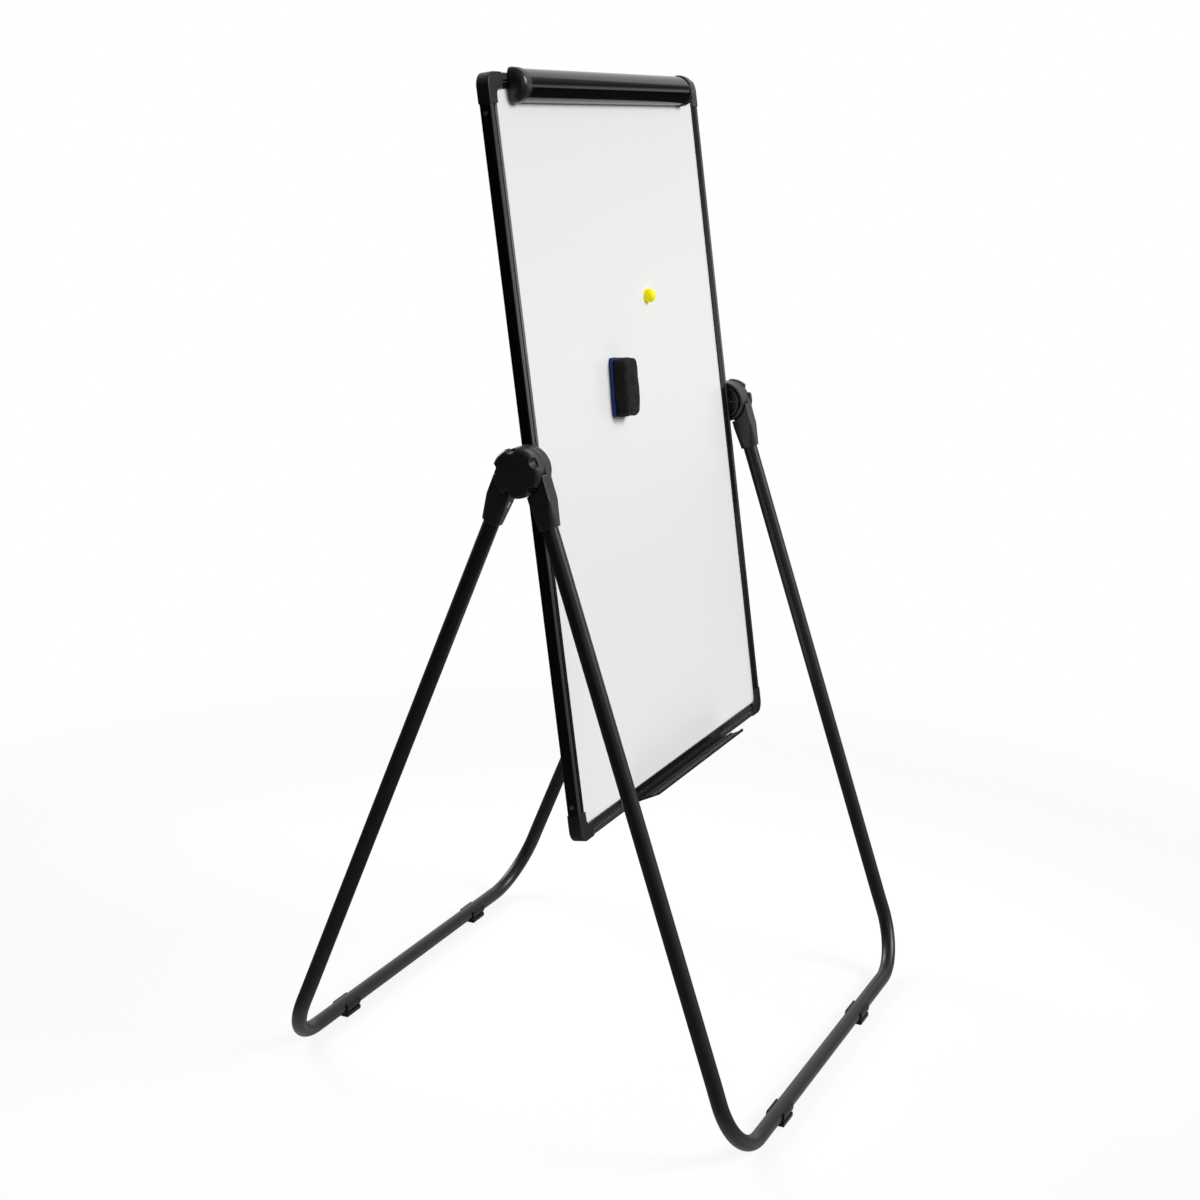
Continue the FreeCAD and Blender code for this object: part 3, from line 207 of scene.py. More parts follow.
def noise(tree, vector, scale, detail=2.0, roughness=0.5):
    """A noise texture on a vector; scale may be a number or a socket."""
    node = tree.nodes.new("ShaderNodeTexNoise")
    node.inputs["Detail"].default_value = detail
    node.inputs["Roughness"].default_value = roughness
    tree.links.new(vector, node.inputs["Vector"])
    feed(tree, scale, node.inputs["Scale"])
    return node.outputs["Fac"]


def feed(tree, value, socket):
    """Links a socket, or sets a plain value."""
    if isinstance(value, bpy.types.NodeSocket):
        tree.links.new(value, socket)
    else:
        socket.default_value = value


def math_node(tree, operation, first, second=0.0, clamp=False):
    """A Math node on two values or sockets."""
    node = tree.nodes.new("ShaderNodeMath")
    node.operation = operation
    node.use_clamp = clamp
    feed(tree, first, node.inputs[0])
    feed(tree, second, node.inputs[1])
    return node.outputs[0]


def spread(tree, value, low, high):
    """A value from 0 to 1 mapped to the range from low to high."""
    node = tree.nodes.new("ShaderNodeMapRange")
    feed(tree, value, node.inputs["Value"])
    feed(tree, low, node.inputs["To Min"])
    feed(tree, high, node.inputs["To Max"])
    return node.outputs["Result"]


def ramp(tree, value, start, end, low, high):
    """A smooth step of a value: low before the start, high after the end."""
    node = tree.nodes.new("ShaderNodeMapRange")
    node.interpolation_type = "SMOOTHSTEP"
    for label, number in (("From Min", start), ("From Max", end), ("To Min", low), ("To Max", high)):
        node.inputs[label].default_value = number
    tree.links.new(value, node.inputs["Value"])
    return node.outputs["Result"]


def mix_colour(tree, factor, first, second):
    """A mix of two colours."""
    node = tree.nodes.new("ShaderNodeMix")
    node.data_type = "RGBA"
    feed(tree, factor, node.inputs["Factor"])
    feed(tree, first, node.inputs["A"])
    feed(tree, second, node.inputs["B"])
    return node.outputs["Result"]


def dot(tree, first, second):
    """The dot product of two vectors."""
    node = tree.nodes.new("ShaderNodeVectorMath")
    node.operation = "DOT_PRODUCT"
    feed(tree, first, node.inputs[0])
    feed(tree, second, node.inputs[1])
    return node.outputs["Value"]


def seen_directly(tree, path):
    """One for rays that come from the camera, also through glass."""
    return math_node(tree, "MAXIMUM", path.outputs["Is Camera Ray"], path.outputs["Is Transmission Ray"])


def vary_roughness(group, entry, end, mask, amount):
    """The group's roughness, raised and lowered round its value by a mask."""
    shift = math_node(group, "MULTIPLY", math_node(group, "SUBTRACT", mask, 0.5), amount)
    group.links.new(math_node(group, "ADD", entry.outputs["Roughness"], shift, True), end.inputs["Roughness"])


def object_vector(tree, stretch=(1.0, 1.0, 1.0)):
    """Object coordinates, stretched along the axes."""
    place = tree.nodes.new("ShaderNodeTexCoord").outputs["Object"]
    mapping = tree.nodes.new("ShaderNodeMapping")
    mapping.inputs["Scale"].default_value = stretch
    tree.links.new(place, mapping.inputs["Vector"])
    return mapping.outputs["Vector"]


def make_moulded_group():
    """Spark-eroded mould grain: fine noise for height, broad noise for handling marks."""
    group, entry, end = new_group(
        "Moulded grain",
        [PLACE, ("Grain scale", FLOAT, 1800.0), ("Base", COLOUR, (0.02, 0.02, 0.02, 1.0)),
         ("Worn", COLOUR, (0.04, 0.04, 0.04, 1.0)), ("Roughness", FLOAT, 0.4), ("Spread", FLOAT, 0.1)], FINISH)
    grain = noise(group, entry.outputs["Vector"], entry.outputs["Grain scale"], 3.0)
    marks = noise(group, entry.outputs["Vector"], 38.0, 5.0, 0.6)
    marks = spread(group, marks, -0.6, 1.6)
    handled = math_node(group, "MULTIPLY", marks, 0.5, True)
    colour = mix_colour(group, handled, entry.outputs["Base"], entry.outputs["Worn"])
    group.links.new(colour, end.inputs["Colour"])
    vary_roughness(group, entry, end, marks, entry.outputs["Spread"])
    group.links.new(grain, end.inputs["Height"])
    return group


def make_streak_group():
    """Drawn lines of an extrusion: noise that is stretched along the length of the profile."""
    group, entry, end = new_group(
        "Drawn streaks",
        [PLACE, ("Base", COLOUR, (0.02, 0.02, 0.02, 1.0)), ("Light", COLOUR, (0.04, 0.04, 0.04, 1.0)),
         ("Roughness", FLOAT, 0.3), ("Spread", FLOAT, 0.1)], FINISH)
    lines = noise(group, entry.outputs["Vector"], 900.0, 3.0, 0.6)
    broad = noise(group, entry.outputs["Vector"], 45.0, 3.0, 0.5)
    colour = mix_colour(group, broad, entry.outputs["Base"], entry.outputs["Light"])
    group.links.new(colour, end.inputs["Colour"])
    vary_roughness(group, entry, end, lines, entry.outputs["Spread"])
    group.links.new(lines, end.inputs["Height"])
    return group


def make_powder_group():
    """Powder coat: orange-peel waves with a finer speckle on top."""
    group, entry, end = new_group(
        "Powder coat",
        [PLACE, ("Base", COLOUR, (0.03, 0.03, 0.03, 1.0)), ("Light", COLOUR, (0.05, 0.05, 0.05, 1.0)),
         ("Roughness", FLOAT, 0.4)], FINISH)
    waves = noise(group, entry.outputs["Vector"], 420.0, 1.5)
    speckle = noise(group, entry.outputs["Vector"], 2600.0, 2.0)
    lighten = noise(group, entry.outputs["Vector"], 16.0, 4.0, 0.6)
    colour = mix_colour(group, lighten, entry.outputs["Base"], entry.outputs["Light"])
    group.links.new(colour, end.inputs["Colour"])
    vary_roughness(group, entry, end, lighten, 0.12)
    peel = math_node(group, "ADD", waves, math_node(group, "MULTIPLY", speckle, 0.25))
    group.links.new(peel, end.inputs["Height"])
    return group


def make_edge_group():
    """Softened edges: the normal of edges rounded by a radius, and a mask of how far it turns there."""
    group, entry, end = new_group(
        "Soft edges", [("Radius", FLOAT, 0.0006)], [("Normal", VECTOR), ("Mask", FLOAT)])
    bevel = group.nodes.new("ShaderNodeBevel")
    bevel.samples = 4
    group.links.new(entry.outputs["Radius"], bevel.inputs["Radius"])
    plain = group.nodes.new("ShaderNodeNewGeometry").outputs["Normal"]
    turned = math_node(group, "SUBTRACT", 1.0, dot(group, bevel.outputs["Normal"], plain), True)
    group.links.new(math_node(group, "MULTIPLY", turned, 4.0, True), end.inputs["Mask"])
    group.links.new(bevel.outputs["Normal"], end.inputs["Normal"])
    return group


def make_painted_crevice_shade_group():
    """Painted crevice shade: how much of the open sky a point sees within a distance, so that grooves and seams
    are painted darker, as shade."""
    group, entry, end = new_group("Dark cavities", [("Distance", FLOAT, 0.004)], [("Mask", FLOAT)])
    open_sky = group.nodes.new("ShaderNodeAmbientOcclusion")
    open_sky.samples = 4
    group.links.new(entry.outputs["Distance"], open_sky.inputs["Distance"])
    group.links.new(ramp(group, open_sky.outputs["AO"], 0.3, 0.85, 0.95, 0.0), end.inputs["Mask"])
    return group


def make_felt_group():
    """Needle felt: fibres from two noises stretched crosswise, matted lumps, and a film of ink dust."""
    group, entry, end = new_group(
        "Needle felt",
        [PLACE, ("Base", COLOUR, (0.02, 0.02, 0.02, 1.0)), ("Dust", COLOUR, (0.06, 0.055, 0.05, 1.0))],
        [("Colour", COLOUR), ("Height", FLOAT)])
    warp = group.nodes.new("ShaderNodeVectorMath")
    warp.operation = "ADD"
    group.links.new(entry.outputs["Vector"], warp.inputs[0])
    drift = group.nodes.new("ShaderNodeTexNoise")
    drift.inputs["Scale"].default_value = 140.0
    group.links.new(entry.outputs["Vector"], drift.inputs["Vector"])
    shrink = group.nodes.new("ShaderNodeVectorMath")
    shrink.operation = "SCALE"
    shrink.inputs["Scale"].default_value = 0.006
    group.links.new(drift.outputs["Color"], shrink.inputs[0])
    group.links.new(shrink.outputs[0], warp.inputs[1])
    fibres = []
    for stretch in ((1.0, 1.0, 0.12), (0.12, 0.12, 1.0)):
        mapping = group.nodes.new("ShaderNodeMapping")
        mapping.inputs["Scale"].default_value = stretch
        group.links.new(warp.outputs[0], mapping.inputs["Vector"])
        fibres.append(noise(group, mapping.outputs["Vector"], 2200.0, 2.0, 0.6))
    web = math_node(group, "MAXIMUM", *fibres)
    lumps = noise(group, entry.outputs["Vector"], 160.0, 3.0, 0.6)
    dust = spread(group, noise(group, entry.outputs["Vector"], 55.0, 4.0, 0.6), -1.1, 1.7)
    film = math_node(group, "MULTIPLY", dust, 0.55, True)
    dusty = mix_colour(group, film, entry.outputs["Base"], entry.outputs["Dust"])
    dark = mix_colour(group, spread(group, web, -1.2, 1.9), (0.006, 0.006, 0.007, 1.0), dusty)
    group.links.new(dark, end.inputs["Colour"])
    matted = math_node(group, "ADD", web, math_node(group, "MULTIPLY", lumps, 1.5))
    group.links.new(matted, end.inputs["Height"])
    return group


GROUP_MAKERS = {"Moulded grain": make_moulded_group, "Drawn streaks": make_streak_group,
                "Powder coat": make_powder_group, "Soft edges": make_edge_group,
                "Dark cavities": make_painted_crevice_shade_group, "Needle felt": make_felt_group}


def group_node(tree, name, **values):
    """A node group placed in a material, with its own values."""
    node = tree.nodes.new("ShaderNodeGroup")
    node.node_tree = bpy.data.node_groups.get(name) or GROUP_MAKERS[name]()
    for label, value in values.items():
        feed(tree, value, node.inputs[label.replace("_", " ")])
    return node


def grey(level):
    """A neutral colour, a little cold as black plastic is."""
    return (level, level, level * 1.04, 1.0)


def scaled(colour, share):
    """A colour made darker or lighter, still opaque."""
    return tuple(channel * share for channel in colour[:3]) + (1.0,)


def new_material(name):
    """A material with a Principled shader; returns it with its tree and that shader."""
    material = bpy.data.materials.new(name)
    material.use_nodes = True
    tree = material.node_tree
    return material, tree, tree.nodes["Principled BSDF"]


def add_bump(tree, shader, height, strength, distance, normal=None):
    """Bump from a height into the shader's normal, on top of another normal where one is given."""
    bump = tree.nodes.new("ShaderNodeBump")
    if normal:
        tree.links.new(normal, bump.inputs["Normal"])
    bump.inputs["Strength"].default_value = strength
    bump.inputs["Distance"].default_value = distance
    tree.links.new(height, bump.inputs["Height"])
    tree.links.new(bump.outputs["Normal"], shader.inputs["Normal"])


def group_material(name, group, shader_values, bump, stretch=(1.0, 1.0, 1.0), edge=0.0007, lighten=0.05,
                   painted_shade_reach=0.004, sides=None, sideways=(1.0, 0.0, 0.0), **values):
    """A material whose colour, roughness and bump come from one node group, with softened edges that are
    lightened, partly as wear and partly as a painted highlight, with crevices painted darker as shade, and,
    where a level for the sides is given, that level on faces that turn sideways, as painted shade."""
    material, tree, shader = new_material(name)
    node = group_node(tree, group, Vector=object_vector(tree, stretch), **values)
    edges = group_node(tree, "Soft edges", Radius=edge)
    # Painted highlight and wear: the softened edges are lightened towards a grey level, both as lit edges and
    # as edge wear.
    painted_highlight_and_wear = math_node(tree, "MULTIPLY", edges.outputs["Mask"], 0.5)
    colour = node.outputs["Colour"]
    # Painted shade: faces that turn sideways are given the darker level for the sides.
    if sides is not None:
        facing = dot(tree, tree.nodes.new("ShaderNodeTexCoord").outputs["Normal"], sideways)
        turned = ramp(tree, math_node(tree, "ABSOLUTE", facing), 0.03, 0.12, 0.0, 1.0)
        colour = mix_colour(tree, turned, colour, grey(sides))
    colour = mix_colour(tree, painted_highlight_and_wear, colour, grey(lighten))
    # Painted shade: grooves, seams and corners are darkened towards black by how little open sky they see.
    shade = group_node(tree, "Dark cavities", Distance=painted_shade_reach)
    tree.links.new(mix_colour(tree, shade.outputs["Mask"], colour, grey(0.001)), shader.inputs["Base Color"])
    tree.links.new(node.outputs["Roughness"], shader.inputs["Roughness"])
    add_bump(tree, shader, node.outputs["Height"], *bump, edges.outputs["Normal"])
    for label, value in shader_values.items():
        shader.inputs[label].default_value = value
    return material


def moulded(name, level, roughness, specular=0.4, bump=(0.2, 0.0002), scale=1800.0, lighten=0.1, edge=0.0007):
    """A grey moulded material with a fine grain."""
    return group_material(name, "Moulded grain", {"Specular IOR Level": specular}, bump, edge=edge,
                          lighten=lighten, Base=grey(level), Worn=grey(level * 1.6), Roughness=roughness,
                          Spread=0.06, Grain_scale=scale)


def finish(material, *names):
    """Puts a material on CAD nodes or new pieces."""
    for name in names:
        piece = NODES.get(name) or bpy.data.objects[name]
        piece.data.materials.clear()
        piece.data.materials.append(material)


# What a user may change

class BoardSettings(bpy.types.PropertyGroup):
    """Colours of the board and its clutter."""
    sheet_colour: bpy.props.FloatVectorProperty(
        name="Sheet", description="Lacquer of the writing sheets", subtype="COLOR", size=3,
        default=(0.885, 0.885, 0.885))
    frame_level: bpy.props.FloatProperty(
        name="Frame black", description="Brightness of the anodised frame", default=0.035, min=0.0, max=1.0)
    magnet_colour: bpy.props.FloatVectorProperty(
        name="Magnet", description="Button magnet", subtype="COLOR", size=3, default=(0.9, 0.8, 0.0))
    eraser_colour: bpy.props.FloatVectorProperty(
        name="Eraser", description="Foam back of the eraser", subtype="COLOR", size=3,
        default=(0.012, 0.035, 0.2))
    felt_level: bpy.props.FloatProperty(
        name="Felt black", description="Brightness of the eraser's felt", default=0.013, min=0.0, max=1.0)


class StandSettings(bpy.types.PropertyGroup):
    """Sizes and colours of the stand."""
    tube_radius: bpy.props.FloatProperty(
        name="Tube radius", description="Outer radius of the leg tubes", default=0.011, unit="LENGTH")
    tube_level: bpy.props.FloatProperty(
        name="Tube black", description="Brightness of the powder coat", default=0.013, min=0.0, max=1.0)
    plastic_level: bpy.props.FloatProperty(
        name="Plastic black", description="Brightness of the moulded pieces", default=0.023, min=0.0, max=1.0)


class StageSettings(bpy.types.PropertyGroup):
    """Camera and light."""
    lens: bpy.props.FloatProperty(
        name="Lens", description="Focal length on a 36 mm sensor", default=61.19, unit="CAMERA")
    key_power: bpy.props.FloatProperty(
        name="Key light", description="Power of the large light in front", default=1140.0, unit="POWER")
    back_power: bpy.props.FloatProperty(
        name="Back light", description="Power of the light behind the board", default=240.0, unit="POWER")
    fill_power: bpy.props.FloatProperty(
        name="Fill light", description="Power of the near light on the left", default=5.0, unit="POWER")
    floor_size: bpy.props.FloatProperty(
        name="Floor", description="Radius of the floor", default=9.0, unit="LENGTH")


# Operators

class EASEL_OT_sheets(bpy.types.Operator):
    """Lacquered steel sheets with faint wiping marks, and the raw core between them"""
    bl_idname = "easel.sheets"
    bl_label = "Sheets"

    def execute(self, context):
        colour = (*context.scene.board_settings.sheet_colour, 1.0)
        material, tree, shader = new_material("Dry-wipe lacquer")
        wiped = noise(tree, object_vector(tree, (5.0, 1.0, 14.0)), 1.6, 4.0, 0.55)
        tree.links.new(mix_colour(tree, wiped, colour, scaled(colour, 0.985)), shader.inputs["Base Color"])
        tree.links.new(spread(tree, wiped, 0.16, 0.30), shader.inputs["Roughness"])
        add_bump(tree, shader, noise(tree, object_vector(tree), 60.0, 2.0), 0.03, 0.0004)
        shader.inputs["Specular IOR Level"].default_value = 0.4
        finish(material, "front_sheet", "back_sheet")

        board, tree, shader = new_material("Raw fibre board")
        fibres = noise(tree, object_vector(tree, (1.0, 3.0, 1.0)), 700.0, 6.0, 0.7)
        tree.links.new(mix_colour(tree, fibres, (0.52, 0.42, 0.30, 1.0), (0.70, 0.60, 0.46, 1.0)),
                       shader.inputs["Base Color"])
        shader.inputs["Roughness"].default_value = 0.9
        add_bump(tree, shader, fibres, 0.4, 0.0003)
        finish(board, "board_core")
        return {"FINISHED"}


class EASEL_OT_frame(bpy.types.Operator):
    """Black anodised extrusions, moulded corner caps, rivets and the pen tray"""
    bl_idname = "easel.frame"
    bl_label = "Frame"

    def execute(self, context):
        level = context.scene.board_settings.frame_level
        # Painted light on the extrusions: the stiles' sideways faces and the rails' upward and downward faces
        # get a darker level as painted shade, and the rails' edges are lightened strongly as painted highlight
        # lines.
        values = {"group": "Drawn streaks", "shader_values": {"Specular IOR Level": 0.55},
                  "bump": (0.03, 0.0001), "edge": 0.0012, "sides": level * 0.12, "Base": grey(level),
                  "Light": grey(level * 1.4), "Roughness": 0.2, "Spread": 0.06}
        upward = (0.0, math.sin(BOARD_TILT), math.cos(BOARD_TILT))
        across = group_material("Anodised rail", stretch=(0.02, 1.0, 1.0), lighten=0.5, sideways=upward,
                                **values)
        upright = group_material("Anodised stile", stretch=(1.0, 1.0, 0.02), lighten=0.12, **values)
        finish(across, "top_rail", "bottom_rail")
        finish(upright, "left_stile", "right_stile")
        finish(moulded("Tray coat", 0.007, 0.55, 0.25), "pen_tray")
        finish(moulded("Corner plastic", 0.016, 0.32, 0.45, (0.08, 0.0001)),
               "top_left_corner", "top_right_corner", "bottom_left_corner", "bottom_right_corner")
        finish(moulded("Rivet black", 0.08, 0.22, 0.6), "corner_rivets")
        return {"FINISHED"}


class EASEL_OT_hinges(bpy.types.Operator):
    """Lapped hinge brackets, clamping knobs and their metal parts"""
    bl_idname = "easel.hinges"
    bl_label = "Hinges"

    def execute(self, context):
        level = context.scene.stand_settings.plastic_level
        # The edges of the brackets, knobs and metal parts are lightened, partly as wear and partly as painted
        # highlight lines.
        finish(moulded("Bracket plastic", level, 0.36, 0.5, lighten=0.45, edge=0.0011),
               "left_hinge_plate", "right_hinge_plate", "front_left_bracket", "front_right_bracket",
               "rear_left_bracket", "rear_right_bracket")
        finish(moulded("Knob plastic", level, 0.3, 0.6, lighten=0.4, edge=0.001),
               "left_knob", "right_knob")
        steel = group_material("Zinc plate", "Drawn streaks", {"Metallic": 0.6}, (0.05, 0.0001), lighten=0.8,
                               Base=(0.7, 0.7, 0.71, 1.0), Light=(0.8, 0.8, 0.8, 1.0), Roughness=0.26,
                               Spread=0.1)
        finish(steel, "left_hinge_stud", "right_hinge_stud", "left_knob_nut", "right_knob_nut",
               "front_bracket_screws", "rear_bracket_screws", "clamp_pin", "clamp_springs")
        finish(moulded("Washer nylon", 0.6, 0.5), "left_friction_washer", "right_friction_washer")
        return {"FINISHED"}


class EASEL_OT_legs(bpy.types.Operator):
    """Powder-coated U-shaped legs as smooth swept tubes, and their clip-on feet"""
    bl_idname = "easel.legs"
    bl_label = "Legs"

    def execute(self, context):
        stand = context.scene.stand_settings
        coat = group_material("Powder coat black", "Powder coat", {"Specular IOR Level": 0.4}, (0.1, 0.0002),
                              Base=grey(stand.tube_level), Light=grey(stand.tube_level * 1.3), Roughness=0.36)
        for body, rear in (("front_leg", False), ("rear_leg", True)):
            tube = swept_tube(f"{body}_tube", from_leg(leg_path(), rear), stand.tube_radius)
            finish(coat, tube.name)
            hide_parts(body.replace("leg", "tube"))
            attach(tube, body)
        finish(moulded("Foot plastic", 0.005, 0.4, 0.2, lighten=0.04),
               "front_left_foot", "front_right_foot", "rear_left_foot", "rear_right_foot")
        return {"FINISHED"}


class EASEL_OT_clamp(bpy.types.Operator):
    """Glossy paper clamp with satin end caps and a rubber gripping strip"""
    bl_idname = "easel.clamp"
    bl_label = "Clamp"

    def execute(self, context):
        finish(moulded("Clamp gloss", 0.002, 0.05, 0.37, (0.02, 0.0002), 60.0, 0.02), "clamp_bar")
        finish(moulded("Cap plastic", 0.02, 0.3, 0.45), "clamp_left_cap", "clamp_right_cap")
        finish(moulded("Clamp seat", 0.006, 0.3, 0.35, lighten=0.03), "clamp_base")
        finish(moulded("Grip rubber", 0.012, 0.7, 0.3, lighten=0.02), "clamp_grip")
        return {"FINISHED"}


class EASEL_OT_clutter(bpy.types.Operator):
    """Button magnet and eraser that cling to the front sheet"""
    bl_idname = "easel.clutter"
    bl_label = "Magnet and eraser"

    def execute(self, context):
        board = context.scene.board_settings
        yellow = (*board.magnet_colour, 1.0)
        # Painted light: the magnet glows a weak yellow of its own, so that its shaded side stays bright, and
        # its edges are lightened as painted highlight and wear.
        glow = {"Specular IOR Level": 0.2, "Emission Color": yellow, "Emission Strength": 0.3}
        finish(group_material("Magnet yellow", "Moulded grain", glow, (0.03, 0.0001), lighten=0.6, painted_shade_reach=0.0002,
                              Base=yellow, Worn=scaled(yellow, 0.95), Roughness=0.35, Spread=0.08),
               "magnet_button")
        blue = (*board.eraser_colour, 1.0)
        finish(group_material("Eraser foam", "Moulded grain", {"Specular IOR Level": 0.3}, (0.4, 0.0004),
                              Base=blue, Worn=scaled(blue, 1.3), Roughness=0.6, Spread=0.08), "eraser_back")
        self.make_felt(grey(board.felt_level))
        finish(moulded("Ferrite", 0.1, 0.6), "magnet_disc", "eraser_magnets")
        return {"FINISHED"}

    def make_felt(self, colour):
        x, y, z = np.moveaxis(felt_pad(), -1, 0)
        cosine, sine = math.cos(ERASER_TURN), math.sin(ERASER_TURN)
        across, up = x * cosine - y * sine, x * sine + y * cosine
        placed = from_board(np.stack([across + ERASER_X, SHEET_FACE - z, up + ERASER_Z], -1))
        pad = mesh_piece("eraser_pad", placed, ring_faces(FELT_ROWS, FELT_COLUMNS))
        material, tree, shader = new_material("Eraser felt")
        felt = group_node(tree, "Needle felt", Vector=object_vector(tree), Base=colour)
        tree.links.new(felt.outputs["Colour"], shader.inputs["Base Color"])
        for label, value in (("Roughness", 0.95), ("Specular IOR Level", 0.15), ("Sheen Weight", 0.06)):
            shader.inputs[label].default_value = value
        add_bump(tree, shader, felt.outputs["Height"], 0.9, 0.0006)
        finish(material, pad.name)
        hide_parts("eraser_felt")
        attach(pad, "eraser")


class EASEL_OT_stage(bpy.types.Operator):
    """Pale floor, soft studio light, white surroundings and the camera"""
    bl_idname = "easel.stage"
    bl_label = "Stage"

    def execute(self, context):
        stage = context.scene.stage_settings
        scene = context.scene
        scene.view_settings.view_transform = "Standard"
        self.make_floor(stage)
        self.make_world(scene)
        for name, place, target, side, power in LAMPS:
            self.make_lamp(name, Vector(place), Vector(target), side, getattr(stage, power))
        self.make_camera(scene, stage)
        return {"FINISHED"}

    def make_floor(self, stage):
        """White to the camera, and fading to pure white with the distance; paler or darker to other rays."""
        angle = np.linspace(0, 2 * np.pi, FLOOR_SIDES, endpoint=False)
        rim = stage.floor_size * np.stack([np.cos(angle), np.sin(angle), 0 * angle], -1)
        floor = mesh_piece("Floor", rim, [list(range(FLOOR_SIDES))], smooth=False)
        material, tree, shader = new_material("Pale floor")
        away = tree.nodes.new("ShaderNodeVectorMath")
        away.operation = "LENGTH"
        tree.links.new(object_vector(tree), away.inputs[0])
        far = ramp(tree, away.outputs["Value"], 0.7, 2.0, 0.0, 1.0)
        path = tree.nodes.new("ShaderNodeLightPath")
        seen = seen_directly(tree, path)
        mirrored = ramp(tree, path.outputs["Ray Length"], 0.01, 0.25, 0.65, 0.1)
        bounce = mix_colour(tree, path.outputs["Is Glossy Ray"], grey(0.6), mirrored)
        near = mix_colour(tree, seen, bounce, grey(0.9))
        tree.links.new(mix_colour(tree, far, near, grey(0.02)), shader.inputs["Base Color"])
        shader.inputs["Roughness"].default_value = 0.9
        shader.inputs["Specular IOR Level"].default_value = 0.0
        glow = tree.nodes.new("ShaderNodeEmission")
        glow.inputs["Color"].default_value = WHITE
        mix = tree.nodes.new("ShaderNodeMixShader")
        share = spread(tree, far, 0.84, 1.0)
        tree.links.new(math_node(tree, "MULTIPLY", seen, share), mix.inputs["Fac"])
        tree.links.new(shader.outputs[0], mix.inputs[1])
        tree.links.new(glow.outputs[0], mix.inputs[2])
        tree.links.new(mix.outputs[0], tree.nodes["Material Output"].inputs["Surface"])
        floor.data.materials.append(material)

    def make_world(self, scene):
        """White to the camera; a dome that lights from above and from the right; and, in gloss alone, a
        white backdrop panel and a glow along the horizon."""
        world = bpy.data.worlds.new("White studio")
        world.use_nodes = True
        tree = world.node_tree
        background = tree.nodes["Background"]
        background.inputs["Color"].default_value = WHITE
        towards = tree.nodes.new("ShaderNodeTexCoord").outputs["Generated"]
        split = tree.nodes.new("ShaderNodeSeparateXYZ")
        tree.links.new(towards, split.inputs[0])
        right, up = split.outputs["X"], split.outputs["Z"]
        ceiling = ramp(tree, up, 0.0, 0.8, 0.02, 1.0)
        zenith = ramp(tree, up, 0.65, 0.95, 1.0, 0.15)
        side = ramp(tree, right, -1.0, 1.0, 0.25, 1.25)
        dome = math_node(tree, "MULTIPLY", math_node(tree, "MULTIPLY", ceiling, zenith), side)
        backdrop = ramp(tree, dot(tree, towards, BACKDROP_WAY), 0.735, 0.76, 0.0, 0.8)
        above = ramp(tree, up, -0.06, -0.02, 0.0, 1.0)
        horizon = math_node(tree, "MULTIPLY", above, ramp(tree, up, 0.0, 0.16, 0.75, 0.06))
        horizon = math_node(tree, "MULTIPLY", horizon, ramp(tree, right, 0.2, 0.7, 0.0, 1.0))
        path = tree.nodes.new("ShaderNodeLightPath")
        glossy = path.outputs["Is Glossy Ray"]
        lit = math_node(tree, "MULTIPLY", dome, spread(tree, glossy, DOME_DIFFUSE, DOME_GLOSS))
        lit = math_node(tree, "MAXIMUM", lit, math_node(tree, "MULTIPLY", horizon, glossy))
        shown = math_node(tree, "MULTIPLY", backdrop, glossy)
        seen = math_node(tree, "MAXIMUM", seen_directly(tree, path), shown)
        tree.links.new(spread(tree, seen, lit, 1.0), background.inputs["Strength"])
        scene.world = world

    def make_lamp(self, name, place, target, side, power):
        """A square area lamp that looks at its target."""
        lamp = bpy.data.lights.new(name, "AREA")
        lamp.shape = "SQUARE"
        lamp.size = side
        lamp.energy = power
        piece = bpy.data.objects.new(name, lamp)
        piece.location = place
        piece.rotation_euler = (place - target).to_track_quat("Z", "Y").to_euler()
        bpy.context.scene.collection.objects.link(piece)

    def make_camera(self, scene, stage):
        """The camera's axes: ahead from its yaw and pitch, and the other two turned about it by its roll."""
        level = math.cos(CAMERA_PITCH)
        ahead = np.array([math.sin(CAMERA_YAW) * level, math.cos(CAMERA_YAW) * level, math.sin(CAMERA_PITCH)])
        right = np.array([math.cos(CAMERA_YAW), -math.sin(CAMERA_YAW), 0.0])
        upward = np.cross(right, ahead)
        across = right * math.cos(CAMERA_ROLL) + upward * math.sin(CAMERA_ROLL)
        upright = upward * math.cos(CAMERA_ROLL) - right * math.sin(CAMERA_ROLL)
        lens = bpy.data.cameras.new("Camera")
        lens.lens = stage.lens
        lens.sensor_width = SENSOR_WIDTH
        camera = bpy.data.objects.new("Camera", lens)
        axes = Matrix(np.stack([across, upright, -ahead], -1).tolist()).to_4x4()
        camera.matrix_world = Matrix.Translation(CAMERA_PLACE) @ axes
        scene.collection.objects.link(camera)
        scene.camera = camera


class EASEL_PT_panel(bpy.types.Panel):
    """Buttons for every step, with the values that they use"""
    bl_idname = "EASEL_PT_panel"
    bl_label = "Flip Whiteboard"
    bl_space_type = "VIEW_3D"
    bl_region_type = "UI"
    bl_category = "Whiteboard"

    def draw(self, context):
        for name in SETTINGS:
            settings, box = getattr(context.scene, name), self.layout.box()
            for label in settings.__annotations__:
                box.prop(settings, label)
        for operator in OPERATORS:
            self.layout.operator(operator.bl_idname)


SETTINGS = {"board_settings": BoardSettings, "stand_settings": StandSettings, "stage_settings": StageSettings}
OPERATORS = (EASEL_OT_sheets, EASEL_OT_frame, EASEL_OT_hinges, EASEL_OT_legs, EASEL_OT_clamp, EASEL_OT_clutter,
             EASEL_OT_stage)


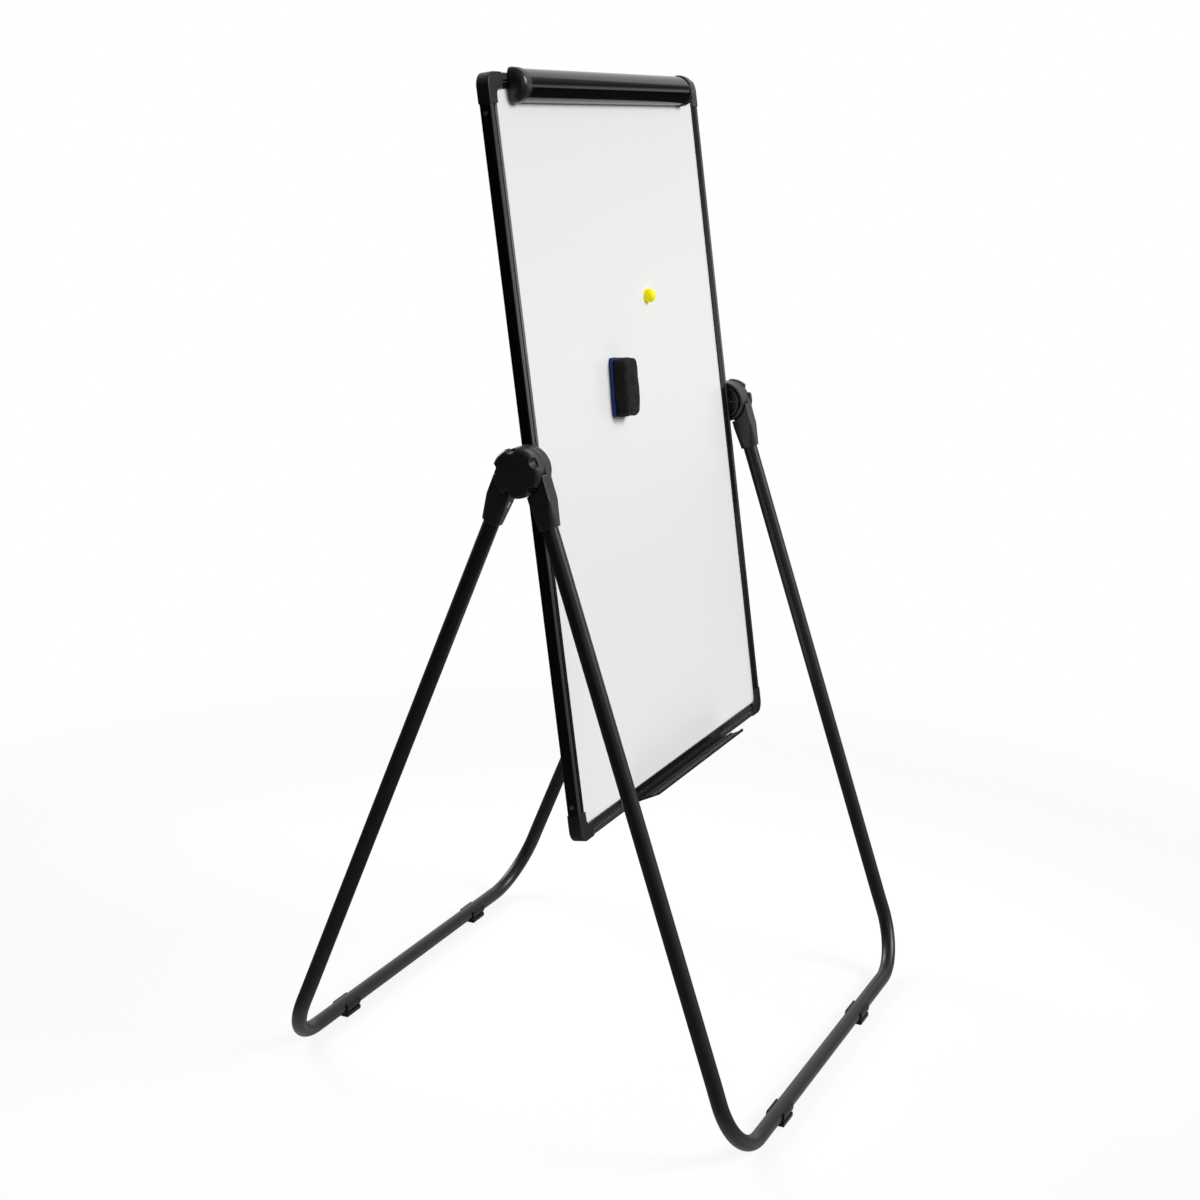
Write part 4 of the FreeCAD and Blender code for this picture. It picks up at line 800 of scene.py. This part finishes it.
def register():
    """Registers the settings, the operators and the panel."""
    for name, group in SETTINGS.items():
        bpy.utils.register_class(group)
        setattr(bpy.types.Scene, name, bpy.props.PointerProperty(type=group))
    for kind in (*OPERATORS, EASEL_PT_panel):
        bpy.utils.register_class(kind)


def unregister():
    """Takes everything out again."""
    for kind in (EASEL_PT_panel, *reversed(OPERATORS)):
        bpy.utils.unregister_class(kind)
    for name, group in SETTINGS.items():
        delattr(bpy.types.Scene, name)
        bpy.utils.unregister_class(group)


def main():
    """Runs every step in order."""
    register()
    bpy.ops.easel.sheets()
    bpy.ops.easel.frame()
    bpy.ops.easel.hinges()
    bpy.ops.easel.legs()
    bpy.ops.easel.clamp()
    bpy.ops.easel.clutter()
    bpy.ops.easel.stage()


if __name__ == "__main__":
    main()
